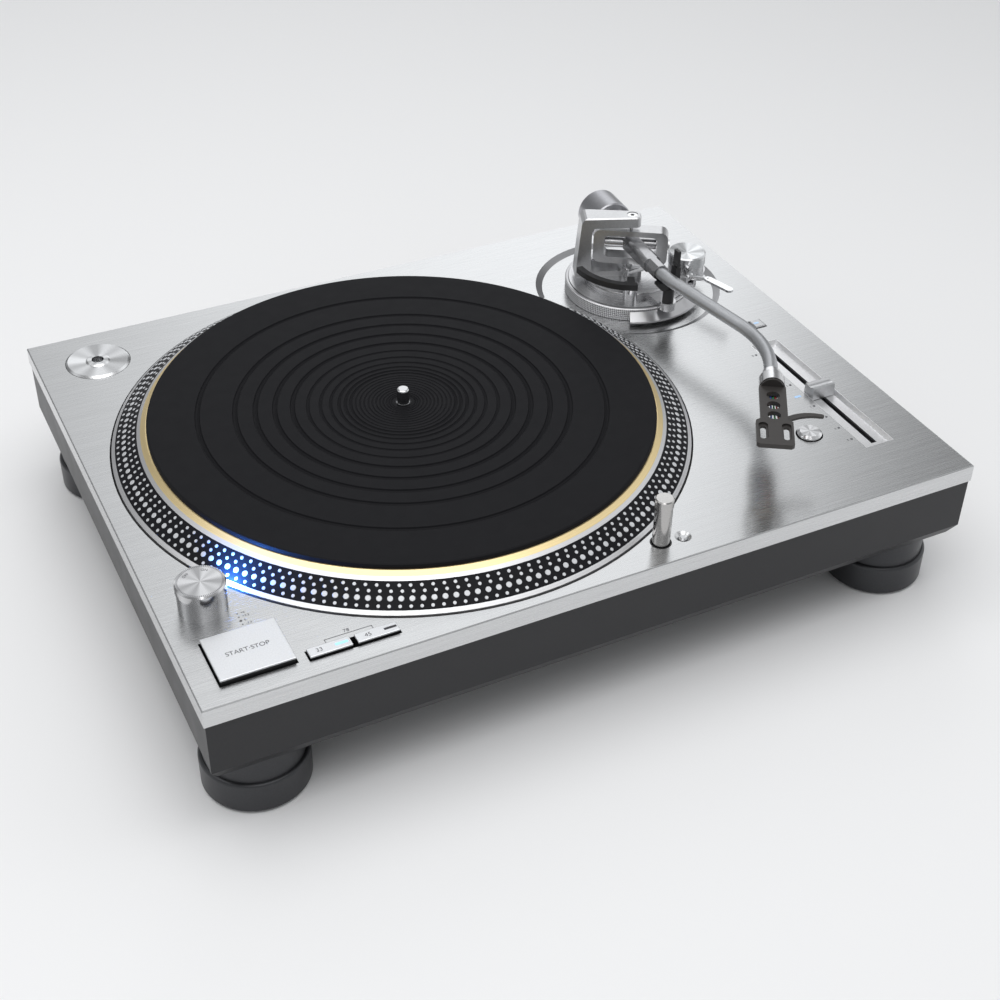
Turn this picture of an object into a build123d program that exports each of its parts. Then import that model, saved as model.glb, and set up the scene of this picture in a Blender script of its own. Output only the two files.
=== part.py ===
from build123d import *

import os
from math import asin, atan2, cos, degrees, radians, sin, sqrt, tan

# A direct-drive record turntable with an S-shaped tonearm, in millimetres.
# The origin is on the floor, under the middle of the top plate.
# +X is to the right, -Y is the front with the controls, and +Z is up.

# Plinth, whose plate reaches beyond the platter by these margins
LEFT_MARGIN = 11.5
RIGHT_MARGIN = 109.5
FRONT_MARGIN = 6.85
REAR_MARGIN = 7.85
PLATE_THICKNESS = 10.8
PLATE_EDGE = 0.6
CABINET_INSET = 0.8
CABINET_WALL = 8.0
CABINET_HEIGHT = 39.2
BEVEL_HEIGHT = 7.0
BEVEL_INSET = 4.0
FOOT_HEIGHT = 36.0
SLAB_THICKNESS = 10.0
SLAB_CLEARANCE = 0.3

# Feet
FOOT_FROM_SIDE = 31.5
FOOT_FROM_FRONT = 32.35
FOOT_RADIUS = 28.8
FOOT_RIM_HEIGHT = 20.0
NECK_RADIUS = 26.6
FOOT_ROUNDING = 2.0
FOOT_STUD_RADIUS = 5.0
FOOT_STUD_LENGTH = 8.0
LOOSE_FIT = 0.1

# Platter
PLATTER_RADIUS = 166.0
PLATTER_GAP = 1.1
PLATTER_RISE = 11.75
PLATTER_SKIRT = 4.0
PLATTER_WEB = 7.5
RIM_WIDTH = 21.0
LIP_WIDTH = 2.1
LIP_RISE = 2.15
STROBE_BAND_WIDTH = 15.0
STROBE_BAND_TOP_RISE = 10.5
STROBE_BAND_THICKNESS = 0.8
RIM_BEVEL_WIDTH = 2.1
BRASS_BEVEL_WIDTH = 3.0
BRASS_THICKNESS = 1.65
BRASS_MARGIN = 0.7
MAT_THICKNESS = 2.8
MAT_EDGE = 1.2
MAT_GROOVE_RADII = (116.7, 95.7, 84.2, 73.2, 63.2, 54.5)
MAT_GROOVE_WIDTH = 1.6
MAT_GROOVE_DEPTH = 0.7
RIB_COUNT = 10
RIB_WIDTH = 5.0
RIB_DEPTH = 7.0
RIB_OVERLAP = 2.0
DAMPER_THICKNESS = 3.0
DAMPER_INNER_RADIUS = 60.0
HUB_RADIUS = 34.0
SHAFT_FIT = 0.03
SPINDLE_RADIUS = 3.6
SPINDLE_HEIGHT = 25.5
SPINDLE_TIP = 1.2
SHOULDER_RADIUS = 4.6
SHOULDER_RISE = 0.2
COLLAR_RADIUS = 10.0
JOURNAL_RADIUS = 5.0

# Motor
MOTOR_CUP_RADIUS = 100.0
MOTOR_CUP_WALL = 5.0
ROTOR_CLEARANCE = 5.0
ROTOR_THICKNESS = 3.0
MAGNET_INNER_RADIUS = 52.0
MAGNET_MARGIN = 3.0
MAGNET_THICKNESS = 6.5
AIR_GAP = 3.0
COIL_COUNT = 9
COIL_CENTRE_RADIUS = 71.0
COIL_LENGTH = 36.0
COIL_WIDTH = 30.0
COIL_BAND = 8.0
COIL_THICKNESS = 5.0
BOARD_THICKNESS = 1.6
MOTOR_BOARD_CLEARANCE = 4.0
BEARING_RADIUS = 16.0
BEARING_FLANGE_RADIUS = 26.0
BEARING_FLANGE = 4.0
BEARING_FLOOR = 2.0
BEARING_TOP_GAP = 1.0

# Record adapter and its well
ADAPTER_FROM_LEFT = 35.8
ADAPTER_FROM_REAR = 32.85
ADAPTER_RADIUS = 19.2
ADAPTER_BORE_RADIUS = 3.65
ADAPTER_HEIGHT = 8.2
ADAPTER_EDGE = 1.2
ADAPTER_LIP_WIDTH = 2.6
ADAPTER_LIP_SLOPE = 1.0
ADAPTER_LIP_RISE = 0.4
ADAPTER_DISHING = 0.5
ADAPTER_CLEARANCE = 0.35
WELL_DEPTH = 7.0

# Strobe tower and its power ring
TOWER_FROM_LEFT = 23.7
TOWER_FROM_FRONT = 70.75
TOWER_RADIUS = 12.6
TOWER_HEIGHT = 11.6
TOWER_STEM_RADIUS = 9.0
TOWER_STEM_LENGTH = 16.0
KNOB_RADIUS = 13.0
KNOB_HEIGHT = 4.6
KNOB_GAP = 0.3
KNOB_STEM_RADIUS = 6.0
KNOB_STEM_LENGTH = 9.0
KNOB_EDGE = 0.8
WINDOW_WIDTH = 9.0
WINDOW_HEIGHT = 5.0
WINDOW_DEPTH = 3.0
WINDOW_DROP = 2.0
WINDOW_SETBACK = 1.2

# Push buttons
BUTTON_GAP = 0.7
BUTTON_EDGE = 0.6
BUTTON_THICKNESS = 5.0
START_FROM_LEFT = 32.6
START_FROM_FRONT = 28.55
START_WIDTH = 38.4
START_DEPTH = 31.8
START_RISE = 1.5
START_TRAVEL = 1.0
SPEED_FROM_LEFT = 81.6
SPEED_FROM_FRONT = 14.15
SPEED_WIDTH = 21.4
SPEED_DEPTH = 6.4
SPEED_PITCH = 25.6
SPEED_RISE = 1.0
DOUBLE_FROM_RIGHT = 26.7
DOUBLE_BEHIND_FADER = 80.0
DOUBLE_WIDTH = 7.6
DOUBLE_DEPTH = 8.4
RESET_FROM_FADER = 31.8
RESET_BEFORE_FADER = 35.2
RESET_RADIUS = 7.2
RESET_RISE = 2.6
RESET_EDGE = 1.4
TRAY_WALL = 2.0
TRAY_DEPTH = 9.0
SWITCH_SIZE = 6.0
SWITCH_HEIGHT = 3.0
SWITCH_GAP = 0.3
STEM_DROP = 5.0

# Target light
TARGET_FROM_SPINDLE = 79.6
TARGET_FROM_FRONT = 16.65
TARGET_RADIUS = 4.8
TARGET_CAP_RADIUS = 5.1
TARGET_CAP_HEIGHT = 5.0
TARGET_RISE = 29.5
TARGET_EDGE = 0.6
TARGET_FOOT = 7.0
TARGET_SLEEVE_RADIUS = 5.9
SLEEVE_FLOOR_GAP = 0.5
RELEASE_FROM_TARGET = 13.2
RELEASE_BEFORE_TARGET = 0.9
RELEASE_RADIUS = 2.3
RELEASE_EDGE = 0.9
RELEASE_DROP = 0.2
RELEASE_CONE_RADIUS = 4.6
RELEASE_CONE_DEPTH = 1.6

# Pitch fader
FADER_FROM_RIGHT = 35.4
FADER_FROM_FRONT = 100.15
FADER_WIDTH = 19.8
FADER_LENGTH = 120.6
FADER_DEPTH = 2.6
FADER_WALL = 1.4
FADER_SLOPE = 2.0
FADER_SLOT_WIDTH = 3.6
FADER_SLOT_END = 5.3
FADER_SLOT_LENGTH = FADER_LENGTH - 2 * FADER_SLOT_END
FADER_KNOB_WIDTH = 15.6
FADER_KNOB_DEPTH = 8.0
FADER_KNOB_RISE = 6.0
FADER_KNOB_EDGE = 0.8
FADER_KNOB_FLARE = 0.6
FADER_KNOB_DIP = 1.1
FADER_STEM = 1.6
FADER_FIT = 0.1
FADER_CASE_WIDTH = 16.0
FADER_CASE_HEIGHT = 12.0
FADER_CASE_WALL = 1.5
FADER_CARRIAGE_WIDTH = 10.0
FADER_CARRIAGE_LENGTH = 6.5
FADER_CARRIAGE_HEIGHT = 3.0
FADER_CARRIAGE_DROP = 2.5

# Tonearm base
PIVOT_FROM_PLATTER = 49.0
PIVOT_ANGLE = 23.13
DISH_RADIUS = 60.7
DISH_DEPTH = 2.0
SLEEVE_RADIUS = 33.0
SLEEVE_DROP = 30.0
SLEEVE_WALL = 4.0
GUIDE_WALL = 3.5
GUIDE_SHORTFALL = 2.0
RING_RADIUS = 41.4
RING_INNER_RADIUS = 39.5
RING_TOP = 6.5
RING_FLOOR = 2.4
RING_SEAT = 0.3
SKIRT_RADIUS = 49.0
SKIRT_START = -118.0
SKIRT_END = -52.0
SKIRT_FOOT = 0.4
SKIRT_EDGE = 1.2
SKIRT_DROP = 1.2
RING_STEP = 0.5
RING_EDGE = 0.6
BASE_RADIUS = 39.2
BASE_TOP = 7.0
BOSS_RADIUS = 29.0
BOSS_TOP = 10.5
BOSS_EDGE = 0.6
LOBE_TOP = 9.5

# Tonearm pivots, seen along the headings that follow
ARM_HEIGHT = 32.0
ARM_LINE_HEADING = -10.0
OFFSET_ANGLE = 22.0
ROOT_TURN = 6.5
BODY_TURN = 19.4
YOKE_ANGLE = 22.0
YOKE_TOP = 52.5
YOKE_ARM = 7.0
YOKE_FOOT_X = -36.0
YOKE_LEFT_X = -33.0
YOKE_INNER_X = -26.2
YOKE_REACH = 5.5
YOKE_FRONT = 5.5
YOKE_BACK = 8.7
YOKE_BACK_AT_PIVOT = 4.5
YOKE_FLOOR = 4.0
YOKE_ROUNDING = 3.0
YOKE_END_ROUNDING = 3.5
YOKE_EDGE = 0.8
YOKE_SHOULDER_WIDTH = 2.5
YOKE_SHOULDER_DROP = 3.0
YOKE_BOSS_RADIUS = 7.5
YOKE_BOSS_TOP = 16.0
YOKE_BOSS_FLOOR = 1.0
YOKE_CUT = 1.0
GIMBAL_WIDTH = 48.0
GIMBAL_BOTTOM = 19.0
GIMBAL_TOP = 42.5
GIMBAL_DEPTH = 10.0
GIMBAL_ROUNDING = 5.0
WINDOW_HALF_WIDTH = 17.0
WINDOW_BOTTOM = 23.5
WINDOW_TOP = 38.7
WINDOW_ROUNDING = 3.0
PIN_RADIUS = 1.2
PIN_FIT = 0.05
PIN_ENGAGEMENT = 2.0
PIN_BORE_DEPTH = 2.5
PIVOT_HEAD_RADIUS = 3.3
PIVOT_HEAD = 1.2
PIVOT_HEAD_DROP = 0.4
PIVOT_HEAD_GAP = 0.2

# Tonearm tube, counterweight and headshell
CROSS_RADIUS = 3.3
ROOT_WIDTH = 11.4
ROOT_HEIGHT = 9.4
ROOT_ROUNDING = 3.0
ROOT_LENGTH = 31.0
COLLAR_LENGTH = 11.5
COLLAR_WIDTH = 10.0
COLLAR_FIT = 0.2
TUBE_WALL = 0.7
TUBE_RADIUS = 4.0
FIRST_RUN = 37.7
FIRST_BEND = 88.0
SECOND_RUN = 60.2
SECOND_BEND = 66.0
LAST_RUN = 23.2
WEIGHT_SHAFT_RADIUS = 4.0
WEIGHT_SHAFT_END = 55.0
WEIGHT_RADIUS = 14.3
WEIGHT_START = 28.0
WEIGHT_LENGTH = 22.0
WEIGHT_FIT = 0.06
WEIGHT_RECESS_RADIUS = 10.5
WEIGHT_RECESS_DEPTH = 13.0
WEIGHT_EDGE = 0.8
DIAL_RADIUS = 11.0
DIAL_LENGTH = 8.6
DIAL_GAP = 0.4
DIAL_EDGE = 0.6
REAR_HUB_GAP = 5.0
SOCKET_RADIUS = 5.4
SOCKET_LENGTH = 11.0
SOCKET_FRONT = 1.4
PLUG_RADIUS = 4.0
PLUG_LENGTH = 8.0
PLUG_FIT = 0.05
PLUG_END_GAP = 1.0
NUT_RADIUS = 7.3
NUT_LENGTH = 10.5
NUT_GAP = 0.35
NUT_BACK_RADIUS = 5.6
NUT_BAND_RADIUS = 6.6
NUT_BAND_START = 2.0
NUT_TAIL = 3.5
SHELL_BACK = 0.6
SHELL_BACK_RADIUS = 6.7
SHELL_LENGTH = 57.0
SHELL_NECK_LENGTH = 32.5
SHELL_NECK_WIDTH = 15.0
SHELL_WIDTH = 20.4
SHELL_STEP = 2.2
SHELL_CORNER = 1.5
SHELL_TOP = 2.0
SHELL_THICKNESS = 2.8
SHELL_HOLE_RADIUS = 3.7
SHELL_HOLE_START = 9.5
SHELL_HOLE_PITCH = 9.8
CARTRIDGE_SPACING = 12.7
SLOT_WIDTH = 3.2
SLOT_LENGTH = 12.0
SLOT_FROM_FRONT = 12.5
SLOT_RECESS_WIDTH = 5.2
SLOT_RECESS_LENGTH = 16.0
SLOT_RECESS_DEPTH = 1.2
LIFT_REACH = 19.0
LIFT_ROOT = 5.0
LIFT_TIP = 2.6
LIFT_SWEEP = 9.0
LIFT_BOW = 8.6
LIFT_WAIST = 3.6
LIFT_OVERLAP = 1.0
LIFT_THICKNESS = 1.4

# Arm rest and its clip
REST_X = 2.5
REST_Y = -45.5
REST_POST_RADIUS = 5.2
REST_POST_TOP = 12.5
REST_STALK_RADIUS = 3.6
CRADLE_BOTTOM = 22.0
CRADLE_LENGTH = 5.0
CRADLE_EDGE = 1.0
CRADLE_LIP = 2.0
CRADLE_TAPER = 3.0
CRADLE_LEFT = -7.0
CRADLE_RIGHT = 8.6
CRADLE_GAP = 0.3
REST_WALL = 3.8
REST_WALL_TOP = 36.4
CLIP_X = 6.7
CLIP_Z = 38.0
CLIP_LENGTH = 9.5
CLIP_THICKNESS = 2.0
CLIP_BARREL = 1.5
CLIP_PIN_RADIUS = 0.75
CLIP_LUG = 1.8
CLIP_LUG_NECK = 2.4
CLIP_GAP = 0.2

# Anti-skating dial
SKATE_X = 37.9
SKATE_Y = -9.8
SKATE_LOBE_RADIUS = 12.8
SKATE_COLLAR_RADIUS = 11.6
SKATE_COLLAR_TOP = 14.3
SKATE_KNOB_RADIUS = 12.2
SKATE_KNOB_TOP = 22.2
SKATE_KNOB_EDGE = 0.8
SKATE_KNOB_DISHING = 1.4
SKATE_STEM_RADIUS = 3.0
SKATE_STEM_DROP = 0.5
SKATE_BORE_DROP = 1.0
SKATE_GAP = 0.3

# Cueing lever and lifter
CUE_X = 29.9
CUE_Y = -25.5
CUE_Z = 12.6
CUE_HEADING = 16.5
CUE_LOBE_RADIUS = 5.5
CUE_BARREL_RADIUS = 2.6
CUE_BARREL_LENGTH = 5.0
CUE_LUG = 2.0
CUE_GAP = 0.3
CUE_LUG_RISE = 1.8
CUE_ROD_RADIUS = 2.0
CUE_ROD_TIP_RADIUS = 1.2
CUE_ROD_LENGTH = 17.0
PADDLE_RISE = 5.4
PADDLE_LENGTH = 19.8
PADDLE_WIDTH = 5.0
PADDLE_THICKNESS = 1.6
PADDLE_TAPER = 2.5
PADDLE_CORNER = 1.5
PADDLE_ROOT_WIDTH = 3.2
LIFTER_X = -13.0
LIFTER_Y = -24.5
LIFTER_POST_RADIUS = 4.6
LIFTER_POST_TOP = 17.5
LIFTER_ROD_RADIUS = 2.2
LIFTER_ARC_INNER = 34.5
LIFTER_ARC_OUTER = 38.5
LIFTER_ARC_BOTTOM = 18.4
LIFTER_ARC_TOP = 22.4
LIFTER_BRACKET = 3.0
LIFTER_BRACKET_WIDTH = 4.8
LIFTER_BRACKET_OVERLAP = 1.0
LIFTER_ARC_START = 178.0
LIFTER_ARC_SWEEP = 70.0

# Rear terminals
TERMINAL_FROM_RIGHT = 76.5
TERMINAL_WIDTH = 64.0
TERMINAL_HEIGHT = 22.0
TERMINAL_RECESS = 10.5
PANEL_THICKNESS = 2.0
PHONO_PITCH = 20.0
PHONO_RADIUS = 4.15
PHONO_PIN_BORE = 1.6
PHONO_FLANGE_RADIUS = 6.0
PHONO_FLANGE = 1.2
PHONO_LENGTH = 8.5
EARTH_RADIUS = 3.5
EARTH_OFFSET = 18.0
EARTH_HEAD_START = 3.0
EARTH_HEAD = 4.0
INLET_FROM_LEFT = 76.5
INLET_WIDTH = 27.0
INLET_HEIGHT = 19.0
INLET_WALL = 2.5
INLET_DEPTH = 20.0
PIN_SPACING = 7.0
PIN_WIDTH = 2.0
PIN_HEIGHT = 4.0
PIN_LENGTH = 12.0
SOCKET_RISE = 21.0
PANEL_SETBACK = 0.3

# Chassis and boards
CHASSIS_THICKNESS = 6.0
CHASSIS_CLEARANCE = 0.5
CHASSIS_OPENING_MARGIN = 2.0
SUPPLY_FROM_LEFT = 36.0
SUPPLY_FROM_REAR = 50.0
SUPPLY_WIDTH = 40.0
SUPPLY_DEPTH = 60.0
LOGIC_FROM_RIGHT = 128.5
LOGIC_FROM_FRONT = 48.35
LOGIC_WIDTH = 90.0
LOGIC_DEPTH = 40.0
BOARD_POST_HEIGHT = 8.0
BOARD_POST_RADIUS = 3.0
BOARD_POST_INSET = 5.0
TRANSFORMER_FROM_LEFT = 131.5
TRANSFORMER_FROM_REAR = 30.35
TRANSFORMER_WIDTH = 46.0
TRANSFORMER_DEPTH = 34.0
TRANSFORMER_HEIGHT = 18.0
SCREW_RADIUS = 2.0

# Places on the plate, from its edges
PLATE_WIDTH = LEFT_MARGIN + 2 * PLATTER_RADIUS + RIGHT_MARGIN
PLATE_DEPTH = FRONT_MARGIN + 2 * PLATTER_RADIUS + REAR_MARGIN
LEFT_EDGE = -PLATE_WIDTH / 2
RIGHT_EDGE = PLATE_WIDTH / 2
FRONT_EDGE = -PLATE_DEPTH / 2
REAR_EDGE = PLATE_DEPTH / 2
SPINDLE_X = LEFT_EDGE + LEFT_MARGIN + PLATTER_RADIUS
SPINDLE_Y = FRONT_EDGE + FRONT_MARGIN + PLATTER_RADIUS
PIVOT_DISTANCE = PLATTER_RADIUS + PIVOT_FROM_PLATTER
PIVOT_X = SPINDLE_X + PIVOT_DISTANCE * cos(radians(PIVOT_ANGLE))
PIVOT_Y = SPINDLE_Y + PIVOT_DISTANCE * sin(radians(PIVOT_ANGLE))
FOOT_X = RIGHT_EDGE - FOOT_FROM_SIDE
FOOT_Y = REAR_EDGE - FOOT_FROM_FRONT
ADAPTER_X = LEFT_EDGE + ADAPTER_FROM_LEFT
ADAPTER_Y = REAR_EDGE - ADAPTER_FROM_REAR
TOWER_X = LEFT_EDGE + TOWER_FROM_LEFT
TOWER_Y = FRONT_EDGE + TOWER_FROM_FRONT
START_X = LEFT_EDGE + START_FROM_LEFT
START_Y = FRONT_EDGE + START_FROM_FRONT
SPEED_X = LEFT_EDGE + SPEED_FROM_LEFT
SPEED_Y = FRONT_EDGE + SPEED_FROM_FRONT
FADER_X = RIGHT_EDGE - FADER_FROM_RIGHT
FADER_Y = FRONT_EDGE + FADER_FROM_FRONT
DOUBLE_X = RIGHT_EDGE - DOUBLE_FROM_RIGHT
DOUBLE_Y = FADER_Y + DOUBLE_BEHIND_FADER
RESET_X = FADER_X - RESET_FROM_FADER
RESET_Y = FADER_Y - RESET_BEFORE_FADER
TARGET_X = SPINDLE_X + TARGET_FROM_SPINDLE
TARGET_Y = FRONT_EDGE + TARGET_FROM_FRONT
RELEASE_X = TARGET_X + RELEASE_FROM_TARGET
RELEASE_Y = TARGET_Y - RELEASE_BEFORE_TARGET
TERMINAL_X = RIGHT_EDGE - TERMINAL_FROM_RIGHT
INLET_X = LEFT_EDGE + INLET_FROM_LEFT
SUPPLY_X = LEFT_EDGE + SUPPLY_FROM_LEFT
SUPPLY_Y = REAR_EDGE - SUPPLY_FROM_REAR
LOGIC_X = RIGHT_EDGE - LOGIC_FROM_RIGHT
LOGIC_Y = FRONT_EDGE + LOGIC_FROM_FRONT
TRANSFORMER_X = LEFT_EDGE + TRANSFORMER_FROM_LEFT
TRANSFORMER_Y = REAR_EDGE - TRANSFORMER_FROM_REAR

# Radii that follow from the platter's and the motor's
STROBE_BAND_TOP_RADIUS = PLATTER_RADIUS - STROBE_BAND_WIDTH
BRASS_RADIUS = STROBE_BAND_TOP_RADIUS - RIM_BEVEL_WIDTH
BRASS_TOP_RADIUS = BRASS_RADIUS - BRASS_BEVEL_WIDTH
MAT_RADIUS = BRASS_TOP_RADIUS - BRASS_MARGIN
ROTOR_RADIUS = MOTOR_CUP_RADIUS - ROTOR_CLEARANCE
MAGNET_OUTER_RADIUS = ROTOR_RADIUS - MAGNET_MARGIN
MOTOR_BOARD_RADIUS = MOTOR_CUP_RADIUS - MOTOR_BOARD_CLEARANCE

# Heights that follow from the sizes above
TOP = FOOT_HEIGHT + CABINET_HEIGHT + PLATE_THICKNESS
PLATE_UNDERSIDE = TOP - PLATE_THICKNESS
SLAB_TOP = FOOT_HEIGHT + SLAB_THICKNESS
PLATTER_TOP = TOP + PLATTER_RISE
BRASS_TOP = PLATTER_TOP + BRASS_THICKNESS
MAT_TOP = BRASS_TOP + MAT_THICKNESS
WEB_UNDERSIDE = PLATTER_TOP - PLATTER_WEB
CUP_FLOOR = SLAB_TOP
BOARD_TOP = CUP_FLOOR + MOTOR_CUP_WALL + BOARD_THICKNESS
COIL_TOP = BOARD_TOP + COIL_THICKNESS
MAGNET_BOTTOM = COIL_TOP + AIR_GAP
ROTOR_BOTTOM = MAGNET_BOTTOM + MAGNET_THICKNESS
ROTOR_TOP = ROTOR_BOTTOM + ROTOR_THICKNESS
ARM_Z = TOP + ARM_HEIGHT
SOCKET_Z = FOOT_HEIGHT + SOCKET_RISE
OUTER_WIDTH = PLATE_WIDTH - 2 * CABINET_INSET
OUTER_DEPTH = PLATE_DEPTH - 2 * CABINET_INSET
INNER_WIDTH = OUTER_WIDTH - 2 * CABINET_WALL
INNER_DEPTH = OUTER_DEPTH - 2 * CABINET_WALL
FADER_OPENING_WIDTH = FADER_WIDTH + 2 * FADER_FIT
FADER_OPENING_LENGTH = FADER_LENGTH + 2 * FADER_FIT
SPEED_OPENING = SPEED_PITCH + SPEED_WIDTH + 2 * BUTTON_GAP
TRAY_WIDTH = SPEED_X + SPEED_OPENING / 2 - START_X + START_WIDTH / 2 + 3 * TRAY_WALL
TRAY_X = START_X - START_WIDTH / 2 - 1.5 * TRAY_WALL + TRAY_WIDTH / 2
TRAY_DEPTH_Y = START_DEPTH + 2 * BUTTON_GAP + 3 * TRAY_WALL

os.makedirs("parts", exist_ok=True)


def heading(angle):
    """The unit direction at this angle from -Y, positive towards +X."""
    return Vector(sin(radians(angle)), -cos(radians(angle)), 0)


def upright(angle, x=PIVOT_X, y=PIVOT_Y, z=TOP):
    """A vertical plane through the pivot, facing the front when the angle is 0."""
    across = (cos(radians(angle)), -sin(radians(angle)), 0)
    return Plane(origin=(x, y, z), x_dir=across, z_dir=heading(-angle))


def level(x, y, z):
    """A level plane centred on this point."""
    return Plane(origin=(x, y, z), x_dir=(1, 0, 0), z_dir=(0, 0, 1))


def at_pivot(height):
    """A level plane at this height over the top plate, centred on the arm's pivot."""
    return level(PIVOT_X, PIVOT_Y, TOP + height)


def profile(x, y, z=0.0):
    """An upright plane through this axis for turned shapes, with its X outwards."""
    return Plane(origin=(x, y, z), x_dir=(1, 0, 0), z_dir=(0, -1, 0))


def along(start, direction, distance=0.0):
    """A plane square to this direction, this far from the start, with its Y up."""
    side = direction.cross(Vector(0, 0, 1))
    return Plane(origin=start + direction * distance, x_dir=side, z_dir=direction)


def save(piece, name):
    """Labels the piece and writes its file."""
    piece.part.label = name
    export_step(piece.part, f"parts/{name}.step")


PIVOT = Vector(PIVOT_X, PIVOT_Y, ARM_Z)
SHELL_HEADING = ARM_LINE_HEADING - OFFSET_ANGLE
ROOT_DIRECTION = heading(ARM_LINE_HEADING + ROOT_TURN)
SHELL_DIRECTION = heading(SHELL_HEADING)
GIMBAL_ANGLE = -SHELL_HEADING

# Top plate: a thick slab of aluminium with every opening that the controls need
with BuildPart() as top_plate:
    with BuildSketch(Plane.XY.offset(PLATE_UNDERSIDE)):
        Rectangle(PLATE_WIDTH, PLATE_DEPTH)
    extrude(amount=PLATE_THICKNESS)
    chamfer(top_plate.edges().group_by(Axis.Z)[-1], length=PLATE_EDGE)
    with BuildSketch(Plane.XY.offset(TOP)):
        with Locations((SPINDLE_X, SPINDLE_Y)):
            Circle(PLATTER_RADIUS + PLATTER_GAP)
        with Locations((START_X, START_Y)):
            Rectangle(START_WIDTH + 2 * BUTTON_GAP, START_DEPTH + 2 * BUTTON_GAP)
        with Locations((SPEED_X, SPEED_Y)):
            Rectangle(SPEED_OPENING, SPEED_DEPTH + 2 * BUTTON_GAP)
        with Locations((DOUBLE_X, DOUBLE_Y)):
            Rectangle(DOUBLE_WIDTH + 2 * BUTTON_GAP, DOUBLE_DEPTH + 2 * BUTTON_GAP)
        with Locations((RESET_X, RESET_Y)):
            Circle(RESET_RADIUS + BUTTON_GAP)
        with Locations((FADER_X, FADER_Y)):
            Rectangle(FADER_OPENING_WIDTH, FADER_OPENING_LENGTH)
        with Locations((TOWER_X, TOWER_Y)):
            Circle(TOWER_STEM_RADIUS + LOOSE_FIT)
        with Locations((TARGET_X, TARGET_Y)):
            Circle(TARGET_SLEEVE_RADIUS)
        with Locations((RELEASE_X, RELEASE_Y)):
            Circle(RELEASE_RADIUS + SWITCH_GAP)
        with Locations((PIVOT_X, PIVOT_Y)):
            Circle(SLEEVE_RADIUS + RING_SEAT)
    extrude(amount=-PLATE_THICKNESS, mode=Mode.SUBTRACT)
    with BuildSketch(at_pivot(0)):
        Circle(DISH_RADIUS)
    extrude(amount=-DISH_DEPTH, mode=Mode.SUBTRACT)
    with BuildSketch(Plane.XY.offset(TOP)):
        with Locations((ADAPTER_X, ADAPTER_Y)):
            Circle(ADAPTER_RADIUS + ADAPTER_CLEARANCE)
    extrude(amount=-WELL_DEPTH, mode=Mode.SUBTRACT)
    with Locations((RELEASE_X, RELEASE_Y, TOP - RELEASE_CONE_DEPTH / 2)):
        Cone(
            RELEASE_RADIUS + SWITCH_GAP,
            RELEASE_CONE_RADIUS,
            RELEASE_CONE_DEPTH,
            mode=Mode.SUBTRACT,
        )
save(top_plate, "top_plate")

# Cabinet: the black outer wall, bevelled under its lower edge, with rear recesses
with BuildPart() as cabinet:
    with BuildSketch(Plane.XY.offset(FOOT_HEIGHT + BEVEL_HEIGHT)):
        Rectangle(OUTER_WIDTH, OUTER_DEPTH)
    extrude(amount=CABINET_HEIGHT - BEVEL_HEIGHT)
    with BuildSketch(Plane.XY.offset(FOOT_HEIGHT)):
        Rectangle(OUTER_WIDTH - 2 * BEVEL_INSET, OUTER_DEPTH - 2 * BEVEL_INSET)
    with BuildSketch(Plane.XY.offset(FOOT_HEIGHT + BEVEL_HEIGHT)):
        Rectangle(OUTER_WIDTH, OUTER_DEPTH)
    loft()
    with BuildSketch(Plane.XY.offset(FOOT_HEIGHT)):
        Rectangle(INNER_WIDTH, INNER_DEPTH)
    extrude(amount=CABINET_HEIGHT, mode=Mode.SUBTRACT)
    rear = Plane(origin=(0, OUTER_DEPTH / 2, SOCKET_Z), x_dir=(-1, 0, 0), z_dir=(0, 1, 0))
    with BuildSketch(rear):
        with Locations((-TERMINAL_X, 0)):
            Rectangle(TERMINAL_WIDTH, TERMINAL_HEIGHT)
        with Locations((-INLET_X, 0)):
            Rectangle(INLET_WIDTH + LOOSE_FIT, INLET_HEIGHT + LOOSE_FIT)
    extrude(amount=-CABINET_WALL, mode=Mode.SUBTRACT)
save(cabinet, "cabinet")

# Base slab: heavy rubber that closes the cabinet and takes the feet's studs
with BuildPart() as base_slab:
    with BuildSketch(Plane.XY.offset(FOOT_HEIGHT)):
        Rectangle(INNER_WIDTH - 2 * SLAB_CLEARANCE, INNER_DEPTH - 2 * SLAB_CLEARANCE)
        with GridLocations(2 * FOOT_X, 2 * FOOT_Y, 2, 2):
            Circle(FOOT_STUD_RADIUS + LOOSE_FIT, mode=Mode.SUBTRACT)
    extrude(amount=SLAB_THICKNESS)
save(base_slab, "base_slab")

# Four feet: a wide damped cylinder under a narrower neck, on a stud to screw it by
for name, side, end in (
    ("foot_front_left", -1, -1),
    ("foot_front_right", 1, -1),
    ("foot_rear_left", -1, 1),
    ("foot_rear_right", 1, 1),
):
    with BuildPart() as foot:
        with BuildSketch(level(side * FOOT_X, end * FOOT_Y, 0)):
            Circle(FOOT_RADIUS)
        extrude(amount=FOOT_RIM_HEIGHT)
        fillet(foot.edges().group_by(Axis.Z)[-1], radius=FOOT_ROUNDING)
        chamfer(foot.edges().group_by(Axis.Z)[0], length=FOOT_ROUNDING)
        with BuildSketch(level(side * FOOT_X, end * FOOT_Y, FOOT_RIM_HEIGHT)):
            Circle(NECK_RADIUS)
        extrude(amount=FOOT_HEIGHT - FOOT_RIM_HEIGHT - LOOSE_FIT)
        with BuildSketch(level(side * FOOT_X, end * FOOT_Y, FOOT_RIM_HEIGHT)):
            Circle(FOOT_STUD_RADIUS)
        extrude(amount=FOOT_HEIGHT - FOOT_RIM_HEIGHT + FOOT_STUD_LENGTH)
    save(foot, name)

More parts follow.
